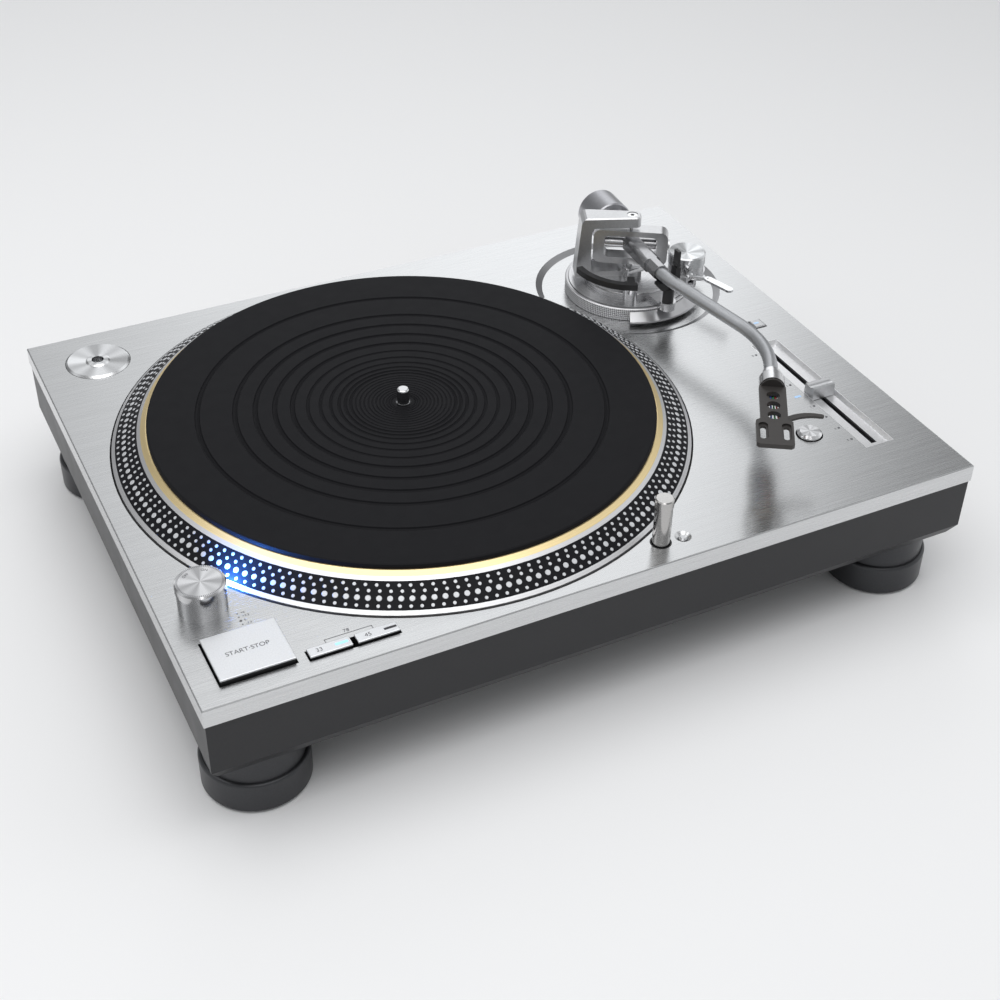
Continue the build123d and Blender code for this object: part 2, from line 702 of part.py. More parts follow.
# Platter: a ribbed casting whose rim slopes down from the strobe band to a lip
band_slope = (STROBE_BAND_TOP_RISE - LIP_RISE) / (
    PLATTER_RADIUS - LIP_WIDTH - STROBE_BAND_TOP_RADIUS
)
with BuildPart() as platter:
    with BuildSketch(profile(SPINDLE_X, SPINDLE_Y)):
        with BuildLine():
            Polyline(
                (COLLAR_RADIUS + SHAFT_FIT, PLATTER_TOP),
                (BRASS_RADIUS, PLATTER_TOP),
                (STROBE_BAND_TOP_RADIUS, TOP + STROBE_BAND_TOP_RISE),
                (STROBE_BAND_TOP_RADIUS, TOP + STROBE_BAND_TOP_RISE - STROBE_BAND_THICKNESS),
                (PLATTER_RADIUS - LIP_WIDTH, TOP + LIP_RISE - STROBE_BAND_THICKNESS),
                (PLATTER_RADIUS - LIP_WIDTH, TOP + LIP_RISE),
                (PLATTER_RADIUS, TOP + LIP_RISE - LIP_WIDTH * band_slope),
                (PLATTER_RADIUS, TOP - PLATTER_SKIRT),
                (PLATTER_RADIUS - RIM_WIDTH, TOP - PLATTER_SKIRT),
                (PLATTER_RADIUS - RIM_WIDTH, WEB_UNDERSIDE),
                (HUB_RADIUS, WEB_UNDERSIDE),
                (HUB_RADIUS, ROTOR_TOP),
                (COLLAR_RADIUS + SHAFT_FIT, ROTOR_TOP),
                close=True,
            )
        make_face()
    revolve(axis=Axis((SPINDLE_X, SPINDLE_Y, 0), (0, 0, 1)))
    rib_length = PLATTER_RADIUS - RIM_WIDTH - HUB_RADIUS + 2 * RIB_OVERLAP
    rib_middle = HUB_RADIUS - RIB_OVERLAP + rib_length / 2
    with BuildSketch(level(SPINDLE_X, SPINDLE_Y, WEB_UNDERSIDE)):
        with PolarLocations(rib_middle, RIB_COUNT):
            Rectangle(rib_length, RIB_WIDTH)
    extrude(amount=-RIB_DEPTH)
save(platter, "platter")

# Damper: dead rubber between the ribs, under the platter's web
with BuildPart() as platter_damper:
    with BuildSketch(level(SPINDLE_X, SPINDLE_Y, WEB_UNDERSIDE)):
        Circle(PLATTER_RADIUS - RIM_WIDTH - SLAB_CLEARANCE)
        Circle(DAMPER_INNER_RADIUS, mode=Mode.SUBTRACT)
        with PolarLocations(rib_middle, RIB_COUNT):
            Rectangle(rib_length, RIB_WIDTH + 2 * SLAB_CLEARANCE, mode=Mode.SUBTRACT)
    extrude(amount=-DAMPER_THICKNESS)
save(platter_damper, "platter_damper")

# Strobe band: a thin black cone let into the rim, which carries four rows of dots
with BuildPart() as strobe_band:
    with BuildSketch(profile(SPINDLE_X, SPINDLE_Y)):
        with BuildLine():
            Polyline(
                (STROBE_BAND_TOP_RADIUS, TOP + STROBE_BAND_TOP_RISE),
                (PLATTER_RADIUS - LIP_WIDTH, TOP + LIP_RISE),
                (PLATTER_RADIUS - LIP_WIDTH, TOP + LIP_RISE - STROBE_BAND_THICKNESS),
                (STROBE_BAND_TOP_RADIUS, TOP + STROBE_BAND_TOP_RISE - STROBE_BAND_THICKNESS),
                close=True,
            )
        make_face()
    revolve(axis=Axis((SPINDLE_X, SPINDLE_Y, 0), (0, 0, 1)))
save(strobe_band, "strobe_band")

# Brass plate: a bevelled disc on top of the casting
with BuildPart() as brass_plate:
    with BuildSketch(profile(SPINDLE_X, SPINDLE_Y)):
        with BuildLine():
            Polyline(
                (COLLAR_RADIUS + SHAFT_FIT, PLATTER_TOP),
                (BRASS_RADIUS, PLATTER_TOP),
                (BRASS_TOP_RADIUS, BRASS_TOP),
                (COLLAR_RADIUS + SHAFT_FIT, BRASS_TOP),
                close=True,
            )
        make_face()
    revolve(axis=Axis((SPINDLE_X, SPINDLE_Y, 0), (0, 0, 1)))
save(brass_plate, "brass_plate")

# Mat: rubber with a rolled edge and its widest grooves
with BuildPart() as platter_mat:
    with BuildSketch(level(SPINDLE_X, SPINDLE_Y, BRASS_TOP)):
        Circle(MAT_RADIUS)
        Circle(SHOULDER_RADIUS + LOOSE_FIT, mode=Mode.SUBTRACT)
    extrude(amount=MAT_THICKNESS)
    rim = platter_mat.edges().filter_by(GeomType.CIRCLE).group_by(Axis.Z)[-1]
    fillet(rim.sort_by(SortBy.RADIUS)[-1], radius=MAT_EDGE)
    for radius in MAT_GROOVE_RADII:
        with BuildSketch(level(SPINDLE_X, SPINDLE_Y, MAT_TOP)):
            Circle(radius + MAT_GROOVE_WIDTH / 2)
            Circle(radius - MAT_GROOVE_WIDTH / 2, mode=Mode.SUBTRACT)
        extrude(amount=-MAT_GROOVE_DEPTH, mode=Mode.SUBTRACT)
save(platter_mat, "platter_mat")

# Spindle: the record's pin on its shoulder, the collar in the platter and the journal
with BuildPart() as spindle:
    with BuildSketch(level(SPINDLE_X, SPINDLE_Y, CUP_FLOOR + BEARING_FLOOR + SHAFT_FIT)):
        Circle(JOURNAL_RADIUS)
    extrude(amount=ROTOR_BOTTOM - CUP_FLOOR - BEARING_FLOOR - SHAFT_FIT)
    with BuildSketch(level(SPINDLE_X, SPINDLE_Y, ROTOR_BOTTOM)):
        Circle(COLLAR_RADIUS)
    extrude(amount=BRASS_TOP - ROTOR_BOTTOM)
    with BuildSketch(level(SPINDLE_X, SPINDLE_Y, BRASS_TOP)):
        Circle(SHOULDER_RADIUS)
    extrude(amount=MAT_THICKNESS + SHOULDER_RISE)
    with BuildSketch(level(SPINDLE_X, SPINDLE_Y, BRASS_TOP)):
        Circle(SPINDLE_RADIUS)
    extrude(amount=TOP + SPINDLE_HEIGHT - BRASS_TOP)
    fillet(spindle.edges().sort_by(Axis.Z)[-1], radius=SPINDLE_TIP)
save(spindle, "spindle")

# Rotor: a steel disc under the hub, with the ring magnet under it
with BuildPart() as rotor_disc:
    with BuildSketch(level(SPINDLE_X, SPINDLE_Y, ROTOR_BOTTOM)):
        Circle(ROTOR_RADIUS)
        Circle(COLLAR_RADIUS + SHAFT_FIT, mode=Mode.SUBTRACT)
    extrude(amount=ROTOR_THICKNESS)
save(rotor_disc, "rotor_disc")

with BuildPart() as rotor_magnet:
    with BuildSketch(level(SPINDLE_X, SPINDLE_Y, MAGNET_BOTTOM)):
        Circle(MAGNET_OUTER_RADIUS)
        Circle(MAGNET_INNER_RADIUS, mode=Mode.SUBTRACT)
    extrude(amount=MAGNET_THICKNESS)
save(rotor_magnet, "rotor_magnet")

# Motor board and its ring of flat coils
with BuildPart() as motor_board:
    with BuildSketch(level(SPINDLE_X, SPINDLE_Y, CUP_FLOOR + MOTOR_CUP_WALL)):
        Circle(MOTOR_BOARD_RADIUS)
        Circle(BEARING_FLANGE_RADIUS + BUTTON_GAP, mode=Mode.SUBTRACT)
    extrude(amount=BOARD_THICKNESS)
save(motor_board, "motor_board")

with BuildPart() as stator_coils:
    with BuildSketch(level(SPINDLE_X, SPINDLE_Y, BOARD_TOP)):
        with PolarLocations(COIL_CENTRE_RADIUS, COIL_COUNT):
            RectangleRounded(COIL_LENGTH, COIL_WIDTH, COIL_BAND)
            Rectangle(
                COIL_LENGTH - 2 * COIL_BAND, COIL_WIDTH - 2 * COIL_BAND, mode=Mode.SUBTRACT
            )
    extrude(amount=COIL_THICKNESS)
save(stator_coils, "stator_coils")

# Bearing housing: a closed bush with a flange on the cup's floor
bearing_top = ROTOR_BOTTOM - BEARING_TOP_GAP
with BuildPart() as bearing_housing:
    with BuildSketch(level(SPINDLE_X, SPINDLE_Y, CUP_FLOOR)):
        Circle(BEARING_RADIUS)
    extrude(amount=bearing_top - CUP_FLOOR)
    with BuildSketch(level(SPINDLE_X, SPINDLE_Y, CUP_FLOOR + MOTOR_CUP_WALL)):
        Circle(BEARING_FLANGE_RADIUS)
    extrude(amount=BEARING_FLANGE)
    with BuildSketch(level(SPINDLE_X, SPINDLE_Y, CUP_FLOOR + BEARING_FLOOR)):
        Circle(JOURNAL_RADIUS + SHAFT_FIT)
    extrude(amount=bearing_top - CUP_FLOOR, mode=Mode.SUBTRACT)
save(bearing_housing, "bearing_housing")

# Chassis: an inner deck under the top plate, with the motor's cup hung from it
guide_radius = SLEEVE_RADIUS + LOOSE_FIT + GUIDE_WALL
margin = 2 * CHASSIS_OPENING_MARGIN
with BuildPart() as chassis:
    with BuildSketch(Plane.XY.offset(PLATE_UNDERSIDE)):
        Rectangle(INNER_WIDTH - 2 * CHASSIS_CLEARANCE, INNER_DEPTH - 2 * CHASSIS_CLEARANCE)
    extrude(amount=-CHASSIS_THICKNESS)
    with BuildSketch(level(SPINDLE_X, SPINDLE_Y, CUP_FLOOR)):
        Circle(MOTOR_CUP_RADIUS + MOTOR_CUP_WALL)
    extrude(amount=PLATE_UNDERSIDE - CUP_FLOOR)
    with BuildSketch(level(SPINDLE_X, SPINDLE_Y, CUP_FLOOR + MOTOR_CUP_WALL)):
        Circle(MOTOR_CUP_RADIUS)
    extrude(amount=PLATE_UNDERSIDE - CUP_FLOOR, mode=Mode.SUBTRACT)
    with BuildSketch(level(SPINDLE_X, SPINDLE_Y, CUP_FLOOR)):
        Circle(BEARING_RADIUS + LOOSE_FIT)
    extrude(amount=MOTOR_CUP_WALL, mode=Mode.SUBTRACT)
    with BuildSketch(Plane.XY.offset(PLATE_UNDERSIDE)):
        with Locations((TRAY_X, START_Y)):
            Rectangle(TRAY_WIDTH + margin, TRAY_DEPTH_Y + margin)
        with Locations((DOUBLE_X, DOUBLE_Y)):
            Rectangle(DOUBLE_WIDTH + margin, DOUBLE_DEPTH + margin)
        with Locations((RESET_X, RESET_Y)):
            Circle(RESET_RADIUS + margin)
        with Locations((FADER_X, FADER_Y)):
            Rectangle(FADER_WIDTH + margin, FADER_LENGTH + margin)
        with Locations((TOWER_X, TOWER_Y)):
            Circle(TOWER_STEM_RADIUS + margin)
        with Locations((TARGET_X, TARGET_Y)):
            Circle(TARGET_SLEEVE_RADIUS + margin)
        with Locations((RELEASE_X, RELEASE_Y)):
            Circle(RELEASE_RADIUS + margin)
        with Locations((PIVOT_X, PIVOT_Y)):
            Circle(guide_radius + SLAB_CLEARANCE)
    extrude(amount=-CHASSIS_THICKNESS, mode=Mode.SUBTRACT)
save(chassis, "chassis")

# Record adapter: a turned disc for large-hole records, loose in its well
with BuildPart() as record_adapter:
    well_floor = TOP - WELL_DEPTH
    with BuildSketch(profile(ADAPTER_X, ADAPTER_Y)):
        with BuildLine():
            adapter_top = well_floor + ADAPTER_HEIGHT
            lip = ADAPTER_BORE_RADIUS + ADAPTER_LIP_WIDTH
            Polyline(
                (ADAPTER_BORE_RADIUS, well_floor),
                (ADAPTER_RADIUS, well_floor),
                (ADAPTER_RADIUS, adapter_top - ADAPTER_EDGE),
                (ADAPTER_RADIUS - ADAPTER_EDGE, adapter_top),
                (lip + ADAPTER_LIP_SLOPE, adapter_top - ADAPTER_DISHING),
                (lip, adapter_top + ADAPTER_LIP_RISE),
                (ADAPTER_BORE_RADIUS, adapter_top + ADAPTER_LIP_RISE),
                close=True,
            )
        make_face()
    revolve(axis=Axis((ADAPTER_X, ADAPTER_Y, 0), (0, 0, 1)))
save(record_adapter, "record_adapter")

# Strobe tower: fixed to the plate, with a window towards the platter's dots
tower_top = TOP + TOWER_HEIGHT
to_platter = degrees(atan2(SPINDLE_Y - TOWER_Y, SPINDLE_X - TOWER_X))
facing = Vector(cos(radians(to_platter)), sin(radians(to_platter)), 0)
window_middle = Vector(TOWER_X, TOWER_Y, tower_top - WINDOW_HEIGHT / 2 - WINDOW_DROP)
with BuildPart() as strobe_tower:
    with BuildSketch(level(TOWER_X, TOWER_Y, TOP)):
        Circle(TOWER_RADIUS)
    extrude(amount=TOWER_HEIGHT)
    with BuildSketch(level(TOWER_X, TOWER_Y, TOP)):
        Circle(TOWER_STEM_RADIUS)
    extrude(amount=-TOWER_STEM_LENGTH)
    with BuildSketch(level(TOWER_X, TOWER_Y, tower_top)):
        Circle(KNOB_STEM_RADIUS + PIN_FIT)
    extrude(amount=-KNOB_STEM_LENGTH - KNOB_GAP, mode=Mode.SUBTRACT)
    with BuildSketch(along(window_middle, facing, TOWER_RADIUS - WINDOW_DEPTH)):
        Rectangle(WINDOW_WIDTH, WINDOW_HEIGHT)
    extrude(amount=2 * WINDOW_DEPTH, mode=Mode.SUBTRACT)
save(strobe_tower, "strobe_tower")

with BuildPart() as strobe_window:
    with BuildSketch(along(window_middle, facing, TOWER_RADIUS - WINDOW_DEPTH)):
        Rectangle(WINDOW_WIDTH, WINDOW_HEIGHT)
    extrude(amount=WINDOW_DEPTH - WINDOW_SETBACK)
save(strobe_window, "strobe_window")

# Power ring: the knob on top of the tower, with a shallow domed face
with BuildPart() as power_knob:
    with BuildSketch(level(TOWER_X, TOWER_Y, tower_top + KNOB_GAP)):
        Circle(KNOB_RADIUS)
    extrude(amount=KNOB_HEIGHT)
    chamfer(power_knob.edges().group_by(Axis.Z)[-1], length=KNOB_EDGE)
    with BuildSketch(level(TOWER_X, TOWER_Y, tower_top + KNOB_GAP)):
        Circle(KNOB_STEM_RADIUS)
    extrude(amount=-KNOB_STEM_LENGTH)
save(power_knob, "power_knob")

# Button tray: the moulded well under the start and speed buttons
tray_top = PLATE_UNDERSIDE
with BuildPart() as button_tray:
    with BuildSketch(level(TRAY_X, START_Y, tray_top)):
        Rectangle(TRAY_WIDTH, TRAY_DEPTH_Y)
    extrude(amount=-TRAY_DEPTH)
    with BuildSketch(Plane.XY.offset(tray_top)):
        with Locations((START_X, START_Y)):
            Rectangle(START_WIDTH + 2 * BUTTON_GAP, START_DEPTH + 2 * BUTTON_GAP)
        with Locations((SPEED_X, SPEED_Y)):
            Rectangle(SPEED_OPENING, SPEED_DEPTH + 2 * BUTTON_GAP)
    extrude(amount=-TRAY_DEPTH + TRAY_WALL, mode=Mode.SUBTRACT)
save(button_tray, "button_tray")


def push_button(x, y, width, depth, rise, foot):
    """A square-cornered button with eased top edges, from its foot to its rise."""
    with BuildPart() as button:
        with BuildSketch(level(x, y, TOP + rise)):
            Rectangle(width, depth)
        extrude(amount=-BUTTON_THICKNESS)
        chamfer(button.edges().group_by(Axis.Z)[-1], length=BUTTON_EDGE)
        with BuildSketch(level(x, y, TOP + rise - BUTTON_THICKNESS)):
            Rectangle(min(width, depth) / 2, min(width, depth) / 2)
        extrude(amount=-(TOP + rise - BUTTON_THICKNESS - foot))
    return button


switch_top = tray_top - TRAY_DEPTH + TRAY_WALL + SWITCH_HEIGHT
button_foot = switch_top + START_TRAVEL + SWITCH_GAP
save(
    push_button(START_X, START_Y, START_WIDTH, START_DEPTH, START_RISE, button_foot),
    "start_stop_button",
)
for name, side in (("speed_33_button", -1), ("speed_45_button", 1)):
    x = SPEED_X + side * SPEED_PITCH / 2
    save(push_button(x, SPEED_Y, SPEED_WIDTH, SPEED_DEPTH, SPEED_RISE, button_foot), name)

# The range button and the reset button sit over small switches of their own
button_board_top = PLATE_UNDERSIDE - CHASSIS_THICKNESS
stem_foot = button_board_top + STEM_DROP
save(
    push_button(DOUBLE_X, DOUBLE_Y, DOUBLE_WIDTH, DOUBLE_DEPTH, SPEED_RISE, stem_foot),
    "double_range_button",
)

with BuildPart() as reset_button:
    with BuildSketch(level(RESET_X, RESET_Y, TOP + RESET_RISE)):
        Circle(RESET_RADIUS)
    extrude(amount=-BUTTON_THICKNESS - RESET_RISE)
    chamfer(reset_button.edges().group_by(Axis.Z)[-1], length=RESET_EDGE)
    with BuildSketch(level(RESET_X, RESET_Y, TOP - BUTTON_THICKNESS)):
        Circle(RESET_RADIUS / 2)
    extrude(amount=-(TOP - BUTTON_THICKNESS - stem_foot))
save(reset_button, "reset_button")

# Switches: one small square switch under each button, with its bracket or board
with BuildPart() as switches:
    with BuildSketch(Plane.XY.offset(switch_top)):
        with Locations((START_X, START_Y)):
            Rectangle(SWITCH_SIZE, SWITCH_SIZE)
        with Locations((SPEED_X - SPEED_PITCH / 2, SPEED_Y), (SPEED_X + SPEED_PITCH / 2, SPEED_Y)):
            Rectangle(SWITCH_SIZE, SWITCH_SIZE)
    extrude(amount=-SWITCH_HEIGHT)
    with BuildSketch(Plane.XY.offset(button_board_top)):
        with Locations((DOUBLE_X, DOUBLE_Y)):
            Rectangle(DOUBLE_WIDTH + 4 * margin, DOUBLE_DEPTH + 3 * margin)
        with Locations((RESET_X, RESET_Y)):
            Rectangle(2 * RESET_RADIUS + 3 * margin, 2 * RESET_RADIUS + 3 * margin)
    extrude(amount=-BOARD_THICKNESS)
    with BuildSketch(Plane.XY.offset(button_board_top)):
        with Locations((DOUBLE_X, DOUBLE_Y), (RESET_X, RESET_Y)):
            Rectangle(SWITCH_SIZE, SWITCH_SIZE)
    extrude(amount=STEM_DROP - START_TRAVEL - SWITCH_GAP)
save(switches, "switches")

# Target light: a lamp on a column that pops up out of its sleeve
with BuildPart() as target_light:
    with BuildSketch(level(TARGET_X, TARGET_Y, TOP + TARGET_RISE)):
        Circle(TARGET_CAP_RADIUS)
    extrude(amount=-TARGET_CAP_HEIGHT)
    chamfer(target_light.edges().group_by(Axis.Z)[-1], length=TARGET_EDGE)
    with BuildSketch(level(TARGET_X, TARGET_Y, TOP + TARGET_RISE - TARGET_CAP_HEIGHT)):
        Circle(TARGET_RADIUS)
    extrude(amount=-(TARGET_RISE - TARGET_CAP_HEIGHT) - TARGET_FOOT)
save(target_light, "target_light")

with BuildPart() as target_sleeve:
    with BuildSketch(level(TARGET_X, TARGET_Y, TOP)):
        Circle(TARGET_SLEEVE_RADIUS - LOOSE_FIT)
        Circle(TARGET_CAP_RADIUS + LOOSE_FIT, mode=Mode.SUBTRACT)
    extrude(amount=-(TOP - SLAB_TOP - SLEEVE_FLOOR_GAP))
save(target_sleeve, "target_sleeve")

with BuildPart() as release_button:
    with BuildSketch(level(RELEASE_X, RELEASE_Y, TOP - RELEASE_DROP)):
        Circle(RELEASE_RADIUS)
    extrude(amount=-PLATE_THICKNESS)
    chamfer(release_button.edges().group_by(Axis.Z)[-1], length=RELEASE_EDGE)
save(release_button, "release_button")

# Pitch fader: a bright trough in the plate, the slider's case and its knob
with BuildPart() as fader_trough:
    with BuildSketch(level(FADER_X, FADER_Y, TOP)):
        Rectangle(FADER_WIDTH, FADER_LENGTH)
    extrude(amount=-FADER_DEPTH - FADER_WALL)
    with BuildSketch(level(FADER_X, FADER_Y, TOP)):
        Rectangle(FADER_WIDTH - FADER_WALL, FADER_LENGTH - FADER_WALL)
    with BuildSketch(level(FADER_X, FADER_Y, TOP - FADER_DEPTH)):
        Rectangle(FADER_WIDTH - 2 * FADER_SLOPE, FADER_LENGTH - 2 * FADER_SLOPE)
    loft(mode=Mode.SUBTRACT)
    with BuildSketch(level(FADER_X, FADER_Y, TOP)):
        Rectangle(FADER_SLOT_WIDTH, FADER_SLOT_LENGTH)
    extrude(amount=-FADER_DEPTH - FADER_WALL, mode=Mode.SUBTRACT)
save(fader_trough, "fader_trough")

fader_case_top = TOP - FADER_DEPTH - FADER_WALL
with BuildPart() as fader_case:
    with BuildSketch(level(FADER_X, FADER_Y, fader_case_top)):
        Rectangle(FADER_CASE_WIDTH, FADER_LENGTH - FADER_WALL)
    extrude(amount=-FADER_CASE_HEIGHT)
    with BuildSketch(level(FADER_X, FADER_Y, fader_case_top)):
        Rectangle(FADER_SLOT_WIDTH, FADER_SLOT_LENGTH)
    extrude(amount=-FADER_CASE_WALL, mode=Mode.SUBTRACT)
    with BuildSketch(level(FADER_X, FADER_Y, fader_case_top - FADER_CASE_WALL)):
        Rectangle(FADER_CASE_WIDTH - 2 * FADER_CASE_WALL, FADER_SLOT_LENGTH)
    extrude(amount=-FADER_CASE_HEIGHT + 2 * FADER_CASE_WALL, mode=Mode.SUBTRACT)
save(fader_case, "fader_case")

fader_floor = TOP - FADER_DEPTH
knob_profile = Plane(origin=(FADER_X, FADER_Y, 0), x_dir=(0, -1, 0), z_dir=(-1, 0, 0))
with BuildPart() as fader_knob:
    with BuildSketch(knob_profile):
        with BuildLine():
            half = FADER_KNOB_DEPTH / 2
            floor = fader_floor + SWITCH_GAP
            crest = TOP + FADER_KNOB_RISE
            Polyline(
                (-half + FADER_KNOB_EDGE, crest),
                (-half, crest - FADER_KNOB_EDGE),
                (-half - FADER_KNOB_FLARE, floor),
                (half + FADER_KNOB_FLARE, floor),
                (half, crest - FADER_KNOB_EDGE),
                (half - FADER_KNOB_EDGE, crest),
            )
            ThreePointArc(
                (half - FADER_KNOB_EDGE, crest),
                (0, crest - FADER_KNOB_DIP),
                (-half + FADER_KNOB_EDGE, crest),
            )
        make_face()
    extrude(amount=FADER_KNOB_WIDTH / 2, both=True)
    with BuildSketch(level(FADER_X, FADER_Y, floor)):
        Rectangle(FADER_STEM, FADER_CARRIAGE_LENGTH)
    extrude(amount=-(floor - fader_case_top + FADER_CARRIAGE_DROP))
    with BuildSketch(level(FADER_X, FADER_Y, fader_case_top - FADER_CARRIAGE_DROP)):
        Rectangle(FADER_CARRIAGE_WIDTH, FADER_CARRIAGE_LENGTH)
    extrude(amount=-FADER_CARRIAGE_HEIGHT)
save(fader_knob, "fader_knob")

# Height ring: the knurled ring that lifts the arm base, with its scale skirt
ring_bottom = -DISH_DEPTH + RING_SEAT
with BuildPart() as height_ring:
    with BuildSketch(at_pivot(ring_bottom)):
        Circle(RING_RADIUS)
        Circle(RING_INNER_RADIUS, mode=Mode.SUBTRACT)
    extrude(amount=RING_TOP - ring_bottom)
    chamfer(
        height_ring.edges().group_by(Axis.Z)[-1].sort_by(SortBy.RADIUS)[-1], length=RING_EDGE
    )
    with BuildSketch(at_pivot(ring_bottom)):
        Circle(RING_RADIUS - RING_STEP)
        Circle(SLEEVE_RADIUS + RING_SEAT, mode=Mode.SUBTRACT)
    extrude(amount=RING_FLOOR)
    with BuildSketch(
        Plane(
            origin=(PIVOT_X, PIVOT_Y, TOP),
            x_dir=(cos(radians(SKIRT_START)), sin(radians(SKIRT_START)), 0),
            z_dir=(sin(radians(SKIRT_START)), -cos(radians(SKIRT_START)), 0),
        )
    ):
        with BuildLine():
            Polyline(
                (RING_RADIUS - RING_STEP, SKIRT_FOOT),
                (SKIRT_RADIUS, SKIRT_FOOT),
                (SKIRT_RADIUS, SKIRT_FOOT + SKIRT_EDGE),
                (RING_RADIUS - RING_STEP, RING_TOP - SKIRT_DROP),
                close=True,
            )
        make_face()
    revolve(
        axis=Axis((PIVOT_X, PIVOT_Y, 0), (0, 0, 1)), revolution_arc=SKIRT_END - SKIRT_START
    )
save(height_ring, "height_ring")

# Arm base: a sleeve and round deck with lobes for the dial, the lever and the rest
base_floor = ring_bottom + RING_FLOOR + RING_SEAT
skate_distance = sqrt(SKATE_X**2 + SKATE_Y**2)
cue_distance = sqrt(CUE_X**2 + CUE_Y**2)
rest_distance = sqrt(REST_X**2 + REST_Y**2)
with BuildPart() as arm_base:
    with BuildSketch(at_pivot(base_floor)):
        Circle(BASE_RADIUS)
    extrude(amount=BASE_TOP - base_floor)
    with BuildSketch(at_pivot(-SLEEVE_DROP)):
        Circle(SLEEVE_RADIUS)
        Circle(SLEEVE_RADIUS - SLEEVE_WALL, mode=Mode.SUBTRACT)
    extrude(amount=SLEEVE_DROP + base_floor)
    with BuildSketch(at_pivot(BASE_TOP)):
        Circle(BOSS_RADIUS)
    extrude(amount=BOSS_TOP - BASE_TOP)
    chamfer(arm_base.edges().group_by(Axis.Z)[-1], length=BOSS_EDGE)
    with BuildSketch(at_pivot(BASE_TOP)):
        with Locations((SKATE_X, SKATE_Y)):
            Circle(SKATE_LOBE_RADIUS)
        with Locations(Location((SKATE_X / 2, SKATE_Y / 2), degrees(atan2(SKATE_Y, SKATE_X)))):
            Rectangle(skate_distance, 2 * SKATE_LOBE_RADIUS)
        with Locations((CUE_X, CUE_Y)):
            Circle(CUE_LOBE_RADIUS)
        with Locations(Location((CUE_X / 2, CUE_Y / 2), degrees(atan2(CUE_Y, CUE_X)))):
            Rectangle(cue_distance, 2 * CUE_LOBE_RADIUS)
        with Locations((REST_X, REST_Y)):
            Circle(REST_POST_RADIUS)
        with Locations(Location((REST_X / 2, REST_Y / 2), degrees(atan2(REST_Y, REST_X)))):
            Rectangle(rest_distance, 1.5 * REST_POST_RADIUS)
    extrude(amount=LOBE_TOP - BASE_TOP)
    with BuildSketch(at_pivot(LOBE_TOP)):
        with Locations((REST_X, REST_Y)):
            Circle(REST_POST_RADIUS)
    extrude(amount=REST_POST_TOP - LOBE_TOP)
    with BuildSketch(at_pivot(SKATE_COLLAR_TOP)):
        with Locations((SKATE_X, SKATE_Y)):
            Circle(SKATE_COLLAR_RADIUS)
    extrude(amount=LOBE_TOP - SKATE_COLLAR_TOP)
    with BuildSketch(at_pivot(SKATE_COLLAR_TOP)):
        with Locations((SKATE_X, SKATE_Y)):
            Circle(SKATE_STEM_RADIUS + PIN_FIT)
    extrude(amount=LOBE_TOP - SKATE_COLLAR_TOP - SKATE_BORE_DROP, mode=Mode.SUBTRACT)
    with BuildSketch(at_pivot(BASE_TOP)):
        with Locations((LIFTER_X, LIFTER_Y)):
            Circle(LIFTER_POST_RADIUS + PIN_FIT)
    extrude(amount=BOSS_TOP - BASE_TOP, mode=Mode.SUBTRACT)
save(arm_base, "arm_base")

# Guide: the fixed tube under the plate that the sleeve rises in
with BuildPart() as arm_base_guide:
    with BuildSketch(at_pivot(-PLATE_THICKNESS)):
        Circle(guide_radius)
        Circle(SLEEVE_RADIUS + LOOSE_FIT, mode=Mode.SUBTRACT)
    extrude(amount=-(SLEEVE_DROP - PLATE_THICKNESS) + GUIDE_SHORTFALL)
save(arm_base_guide, "arm_base_guide")

